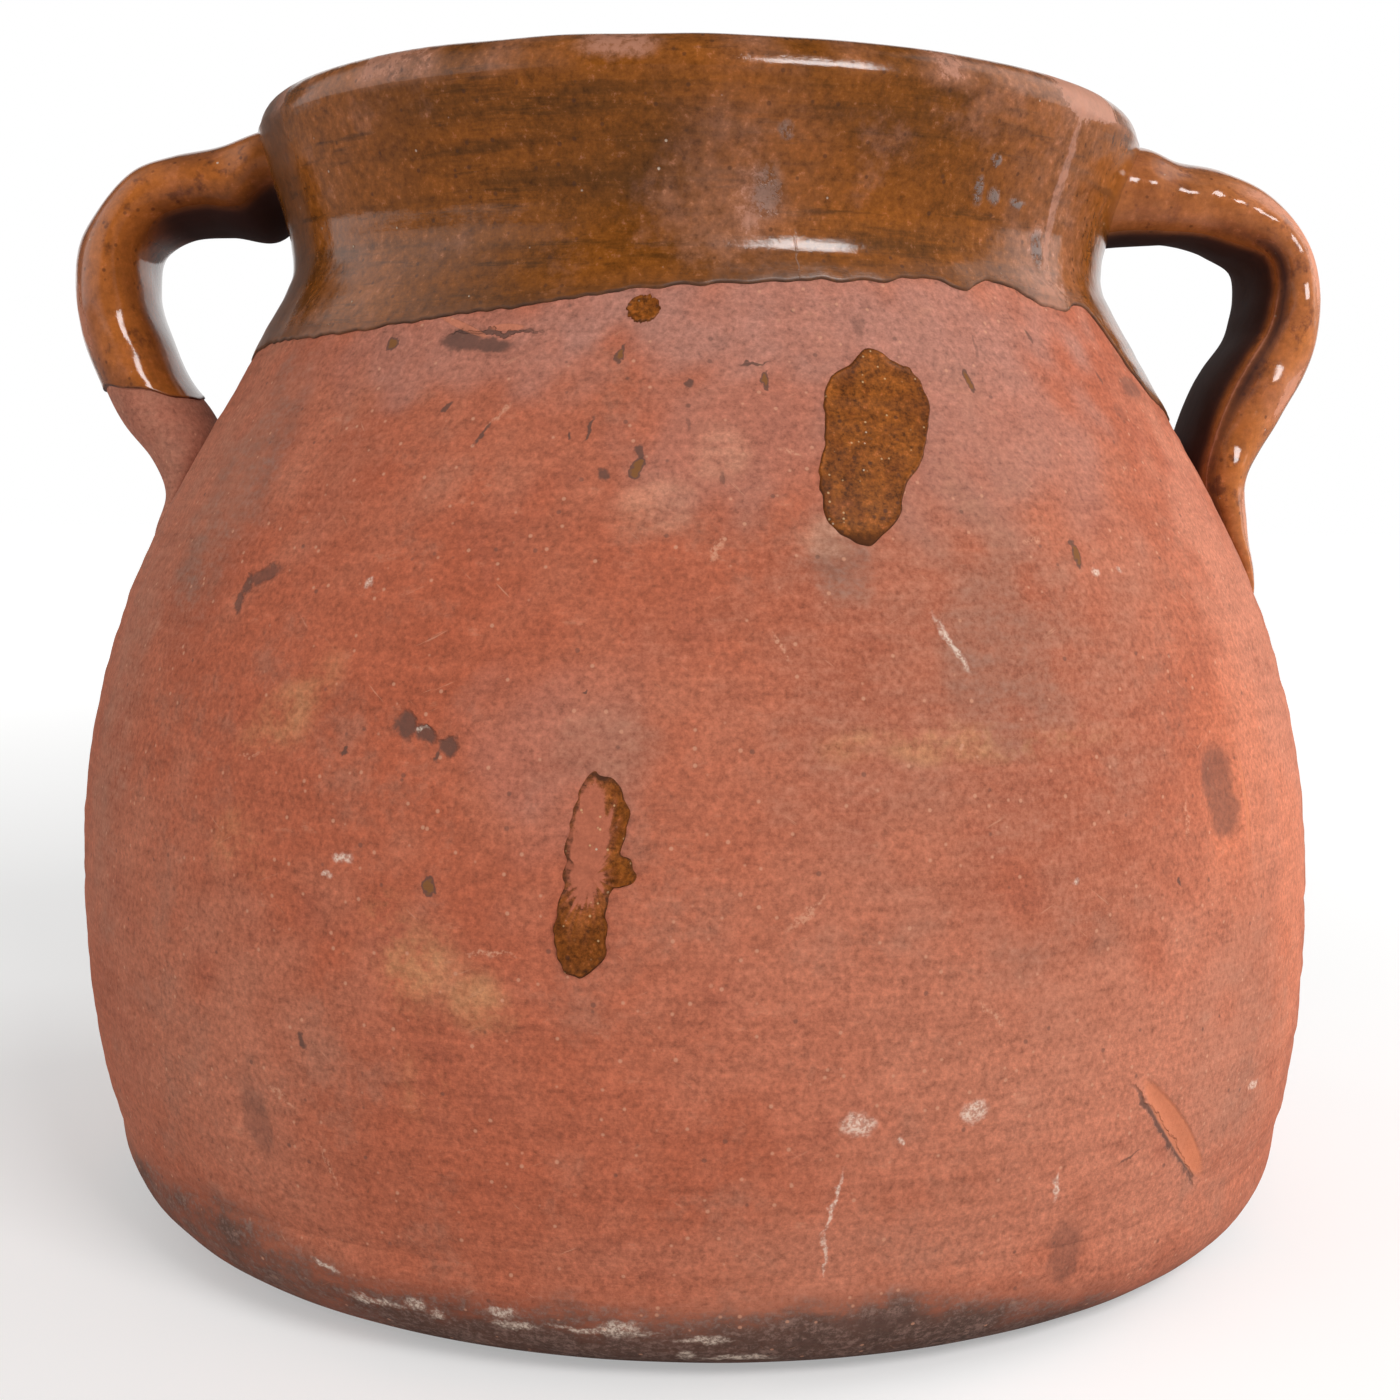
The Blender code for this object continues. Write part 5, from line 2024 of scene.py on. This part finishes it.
@dataclass
class Studio:
    """Camera, soft light and pale floor.

    Attributes:
        focal_pixels: Focal length of the camera in pixels.
        frame_width: Width of the picture in pixels.
        sensor: Width of the sensor.
        eye: Place of the camera.
        pitch: How far the camera looks down.
        roll: Turn of the camera about its own axis.
        target: Place that the lamps face, in metres.
        daylight: Strength of the even light from all round.
        half_floor: Half the width of the floor, in metres.
    """

    focal_pixels: float = 1978.45
    frame_width: float = 1400.0
    sensor: float = 36.0
    eye: Triple = (-1.16, -475.5, 159.9)
    pitch: float = 5.647
    roll: float = 0.51
    target: Triple = (0.0, 0.0, 0.14)
    daylight: float = 0.40
    half_floor: float = 12.0

    def camera(self) -> None:
        """Camera at the photo's viewpoint."""
        data = bpy.data.cameras.new("camera")
        data.sensor_width = self.sensor
        data.lens = self.focal_pixels * self.sensor / self.frame_width
        data.clip_start = 0.01
        made = bpy.data.objects.new("camera", data)
        look = Matrix.Rotation(math.radians(90 - self.pitch), 4, "X")
        turn = Matrix.Rotation(math.radians(self.roll), 4, "Z")
        made.matrix_world = Matrix.Translation(Vector(self.eye) * MM) @ look @ turn
        bpy.context.scene.collection.objects.link(made)
        bpy.context.scene.camera = made

    def softbox(
        self, name: str, place: Triple, size: tuple[float, float], watts: float,
        mirrored: bool = True,
    ) -> None:
        """Rectangular lamp that faces the pot.

        Args:
            name: Name of the lamp.
            place: Its place in metres.
            size: Its width and height in metres.
            watts: Its power.
            mirrored: Whether the pot's gloss shows it.
        """
        data = bpy.data.lights.new(name, "AREA")
        data.shape = "RECTANGLE"
        data.size, data.size_y = size
        data.energy = watts
        made = bpy.data.objects.new(name, data)
        made.visible_glossy = mirrored
        spot = Vector(place)
        aim = (Vector(self.target) - spot).to_track_quat("-Z", "Y")
        made.matrix_world = Matrix.Translation(spot) @ aim.to_matrix().to_4x4()
        bpy.context.scene.collection.objects.link(made)

    def lamps(self) -> None:
        """Softbox on the right of the camera, a weak one on the left and a card on either side."""
        self.softbox("key", (0.62, -1.05, 0.95), (0.60, 0.42), 11.6)
        self.softbox("fill", (-1.20, -0.70, 0.50), (0.90, 0.90), 4.6, False)
        self.softbox("right card", (1.15, 0.30, 0.45), (0.70, 0.90), 11.0, False)
        self.softbox("left card", (-1.10, 0.72, 0.45), (0.30, 0.90), 1.6, False)

    def world(self) -> None:
        """White surroundings for the camera, dimmer ones in reflections and a soft even light."""
        world = bpy.data.worlds.new("surroundings")
        bpy.context.scene.world = world
        world.use_nodes = True
        graph = Graph(world.node_tree)
        around = graph.node("ShaderNodeTexCoord", {}, {}, "Generated")
        behind = graph.node("ShaderNodeSeparateXYZ", {}, {0: around}, "Y")
        aside = graph.node("ShaderNodeSeparateXYZ", {}, {0: around}, "X")
        panel = graph.step(behind, -0.06, 0.02) * graph.step(behind, 0.60, 0.52)
        right = graph.step(aside, 0.3, 0.7) * (0.25 + 0.75 * panel)
        left = graph.step(aside, -0.35, -0.95) * graph.step(behind, 0.58, 0.48) * 0.85
        mirrored = 0.06 + (graph.step(behind, 0.80, 0.86) * 0.9 | right | left)
        camera, glossy, through = graph.rays()
        level = graph.grey(camera | through | mirrored)
        shown = graph.node("ShaderNodeBackground", {}, {"Color": level})
        even = {"Color": (1.0, 0.99, 0.97), "Strength": self.daylight}
        soft = graph.node("ShaderNodeBackground", {}, even)
        mask = camera | glossy | through
        graph.show(graph.node("ShaderNodeMixShader", {}, {0: mask, 1: soft, 2: shown}), "World Output")

    def floor(self) -> None:
        """Pale floor, white to the camera apart from the pot's shadow."""
        recipe = Recipe("pale_floor")
        place = {0: recipe.place()}
        away = recipe.node("ShaderNodeVectorMath", {"operation": "LENGTH"}, place, "Value")
        glow = recipe.grey(0.36 + 0.40 * recipe.step(away, 0.25, 1.7))
        matt = recipe.node("ShaderNodeBsdfDiffuse", {}, {"Color": (0.62, 0.62, 0.62)})
        glowing = recipe.node("ShaderNodeEmission", {}, {"Color": glow})
        lit = recipe.node("ShaderNodeAddShader", {}, {0: matt, 1: glowing})
        plain = recipe.node("ShaderNodeBsdfDiffuse", {}, {"Color": (0.85, 0.85, 0.85)})
        dim = recipe.node("ShaderNodeEmission", {}, {"Color": (0.20, 0.20, 0.20)})
        camera, glossy, through = recipe.rays()
        shown = recipe.node("ShaderNodeMixShader", {}, {0: camera | through, 1: plain, 2: lit})
        mirrored = recipe.node("ShaderNodeMixShader", {}, {0: glossy, 1: shown, 2: dim})
        recipe.show(mirrored, "Material Output")
        recipe.tree.nodes.remove(recipe.shader)
        half = self.half_floor
        mesh = bpy.data.meshes.new("floor")
        corners = [(-half, -half, 0), (half, -half, 0), (half, half, 0), (-half, half, 0)]
        mesh.from_pydata(corners, [], [(0, 1, 2, 3)])
        mesh.materials.append(recipe.material)
        made = bpy.data.objects.new("floor", mesh)
        bpy.context.scene.collection.objects.link(made)


# Faces of the straps, their widths and their turns, from the neck down to the shoulder
LEFT_OUTER = (
    (-93, 245.5), (-102.9, 242.4), (-111.1, 239.6), (-122.5, 237.6), (-132.2, 234.8), (-140, 228.5),
    (-145.8, 219.7), (-147.6, 208.5), (-146.4, 199), (-142.3, 187.5), (-137, 177.1), (-130.4, 169),
    (-126, 161.1), (-127.3, 152), (-127.5, 142),
)
LEFT_INNER = (
    (-91.5, 227.5), (-98.4, 227.5), (-104.5, 223), (-115.4, 223.8), (-124.6, 222.2), (-130.9, 216.9),
    (-131.4, 209.3), (-130.5, 203.4), (-128.2, 197.3), (-124.4, 188.1), (-118.6, 180), (-115, 172),
    (-118, 162), (-122.5, 152), (-125.5, 142),
)
RIGHT_OUTER = (
    (90, 243), (99.4, 243), (107.6, 239.7), (118.4, 237.8), (127.2, 233.4), (134, 226.4),
    (138.6, 217.8), (140.8, 208.3), (140.3, 199.6), (137.5, 190.1), (132.6, 181), (127.7, 173.3),
    (124.4, 165.2), (124.9, 156), (126.2, 146), (126.5, 136),
)
RIGHT_INNER = (
    (88, 221), (94.8, 222), (104.1, 222.6), (112, 222.2), (119.4, 219.7), (126.2, 216.6),
    (127.6, 210.6), (126.7, 205.6), (125.2, 200.7), (120.7, 193.8), (116.7, 186.5), (114, 177.5),
    (112, 167), (115, 156), (120.5, 146), (123.5, 136),
)
LEFT_WIDTHS = (50, 48, 45, 43, 42.5, 42.5, 42.5, 42.5, 42.5, 43, 44, 46, 47, 46, 42)
LEFT_ROLLS = (-4, -4, -4, -3, 1, 6, 9, 10, 10, 9, 8, 6, 3, 0, 0)
RIGHT_WIDTHS = (50, 48, 45, 43, 42, 42, 42, 42, 42, 42, 43, 44, 46, 46, 44, 38)
RIGHT_ROLLS = (7, 7, 7, 7, 5, 2) + (0,) * 10
# Outlines of the drips
LARGE_OUTLINE = (
    (18.7, 189.8), (20.3, 187.6), (23, 185.2), (23.7, 181), (22.3, 172.1), (21, 167.4),
    (19.2, 163.8), (17.8, 157.6), (16.1, 154.6), (14.6, 152.5), (12.9, 154.3), (11.5, 157),
    (11.1, 163.5), (12, 171), (12.9, 180.6), (13.6, 183.6), (15.8, 186),
)
SCAR_OUTLINE = (
    (-7.2, 113.6), (-5.9, 112.9), (-4.9, 110.3), (-4.4, 105), (-4.8, 99.9), (-3.9, 98),
    (-4, 95.4), (-5.6, 93.9), (-5.9, 88), (-6.5, 80.9), (-8.1, 78.4), (-9.3, 80.3), (-9.7, 84.5),
    (-9.1, 94.5), (-8.6, 105.4), (-8, 110.6),
)
SCAR_BARE = Oval(-7.4, 101.3, 4.5, 14, 1, -5)
ROUND_OUTLINE = (
    (-5.5, 199.2), (-4.1, 198.2), (-3.6, 196.4), (-4.1, 194.5), (-5.5, 193.5), (-6.9, 194.5),
    (-7.4, 196.4), (-6.9, 198.2),
)


def settle(piece: Object, node: str) -> None:
    """Tie a piece to the frame: it rides on the pot and stands for a node.

    Args:
        piece: The piece.
        node: Node of the CAD part that it stands for.
    """
    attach(piece, BODY)
    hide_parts(node)
    LOG.info("%s stands for %s with %d faces", piece.name, node, len(piece.data.polygons))


def main() -> None:
    """Build the pot, dress it and set up the studio."""
    logging.basicConfig(level=logging.INFO, format="%(name)s: %(message)s")
    bpy.context.scene.view_settings.view_transform = "Standard"
    marks = PotMarks()
    form = WallForm(dents=marks.dents)
    clay = ClayFinish(
        "bare_terracotta", marks.nicks, marks.spots, marks.drops, marks.flakes, marks.chalk, marks.scuffs
    ).material()
    heel = ClayFinish("scorched_terracotta", spots=marks.heel_spots, chalk=marks.heel_chalk).material()
    plain = ClayFinish("strap_terracotta").material()
    honey = GlazeFinish("honey_glaze", nicks=marks.neck_nicks, scrapes=marks.neck_scrapes).material()
    lining = GlazeFinish("lining_glaze", cover=0.4).material()
    amber = GlazeFinish(
        "amber_glaze", honey=(0.370, 0.108, 0.020), olive=(0.125, 0.036, 0.012),
        bare=(0.470, 0.160, 0.082), rim=(0.036, 0.010, 0.008), streaks=(60.0, 60.0, 60.0),
        cover=0.2, grain=0.45, ripple=0.00013,
    ).material()
    # Lighter copy of the amber glaze for the right strap, standing in for the light and sheen that fall
    # on it: painted light.
    painted_light_amber = GlazeFinish(
        "amber_glaze_painted_light", honey=(0.440, 0.140, 0.034), olive=(0.125, 0.036, 0.016),
        bare=(0.560, 0.220, 0.120), rim=(0.036, 0.010, 0.008), streaks=(60.0, 60.0, 60.0),
        cover=0.3, grain=0.45, ripple=0.00013,
    ).material()
    drip = GlazeFinish(
        "drip_glaze", honey=(0.225, 0.064, 0.008), olive=(0.125, 0.032, 0.004),
        bare=(0.390, 0.118, 0.066), rim=(0.055, 0.020, 0.010), streaks=(120.0, 120.0, 120.0),
        gloss=0.40, shine=0.12, grain=1.3, fineness=1.9, ripple=0.00010, glints=0.6,
    ).material()
    thrown = ThrownBody(form, Rounds(), clay, heel, plain, honey, lining, marks.stains)
    settle(thrown.base(), "base_dish")
    settle(thrown.belly(), "belly_wall")
    settle(thrown.neck(), "neck_collar")
    settle(thrown.lining_glaze(), "inner_glaze")
    settle(thrown.collar_glaze(), "collar_glaze")
    left = Strap(
        "left", LEFT_OUTER, LEFT_INNER, LEFT_WIDTHS, LEFT_ROLLS, power=2.3, pad=0.8, ridge=0.4,
        ridge_at=-90.0, lumps=0.12, seed=51, bare_from=184.0, clay=plain, amber=amber,
    )
    right = Strap(
        "right", RIGHT_OUTER, RIGHT_INNER, RIGHT_WIDTHS, RIGHT_ROLLS, power=2.7, pad=0.4, ridge=0.9,
        ridge_at=-86.0, lumps=0.18, seed=61, bare_from=None, clay=plain, amber=painted_light_amber,
    )
    for strap in (left, right):
        settle(strap.body(), strap.word + "_handle")
        settle(strap.glaze(), strap.word + "_handle_glaze")
    splashes = (
        ("large_splash", Splash("large", LARGE_OUTLINE, 0.22, 0.12, 0.8, 71)),
        ("scar_glaze", Splash("scar", SCAR_OUTLINE, 0.35, 0.20, 0.2, 81, SCAR_BARE)),
        ("round_splash", Splash("round", ROUND_OUTLINE, 0.30, 0.12, 0.0, 91)),
    )
    for node, splash in splashes:
        settle(splash.piece(form, drip), node)
    studio = Studio()
    studio.camera()
    studio.lamps()
    studio.world()
    studio.floor()


if __name__ == "__main__":
    main()
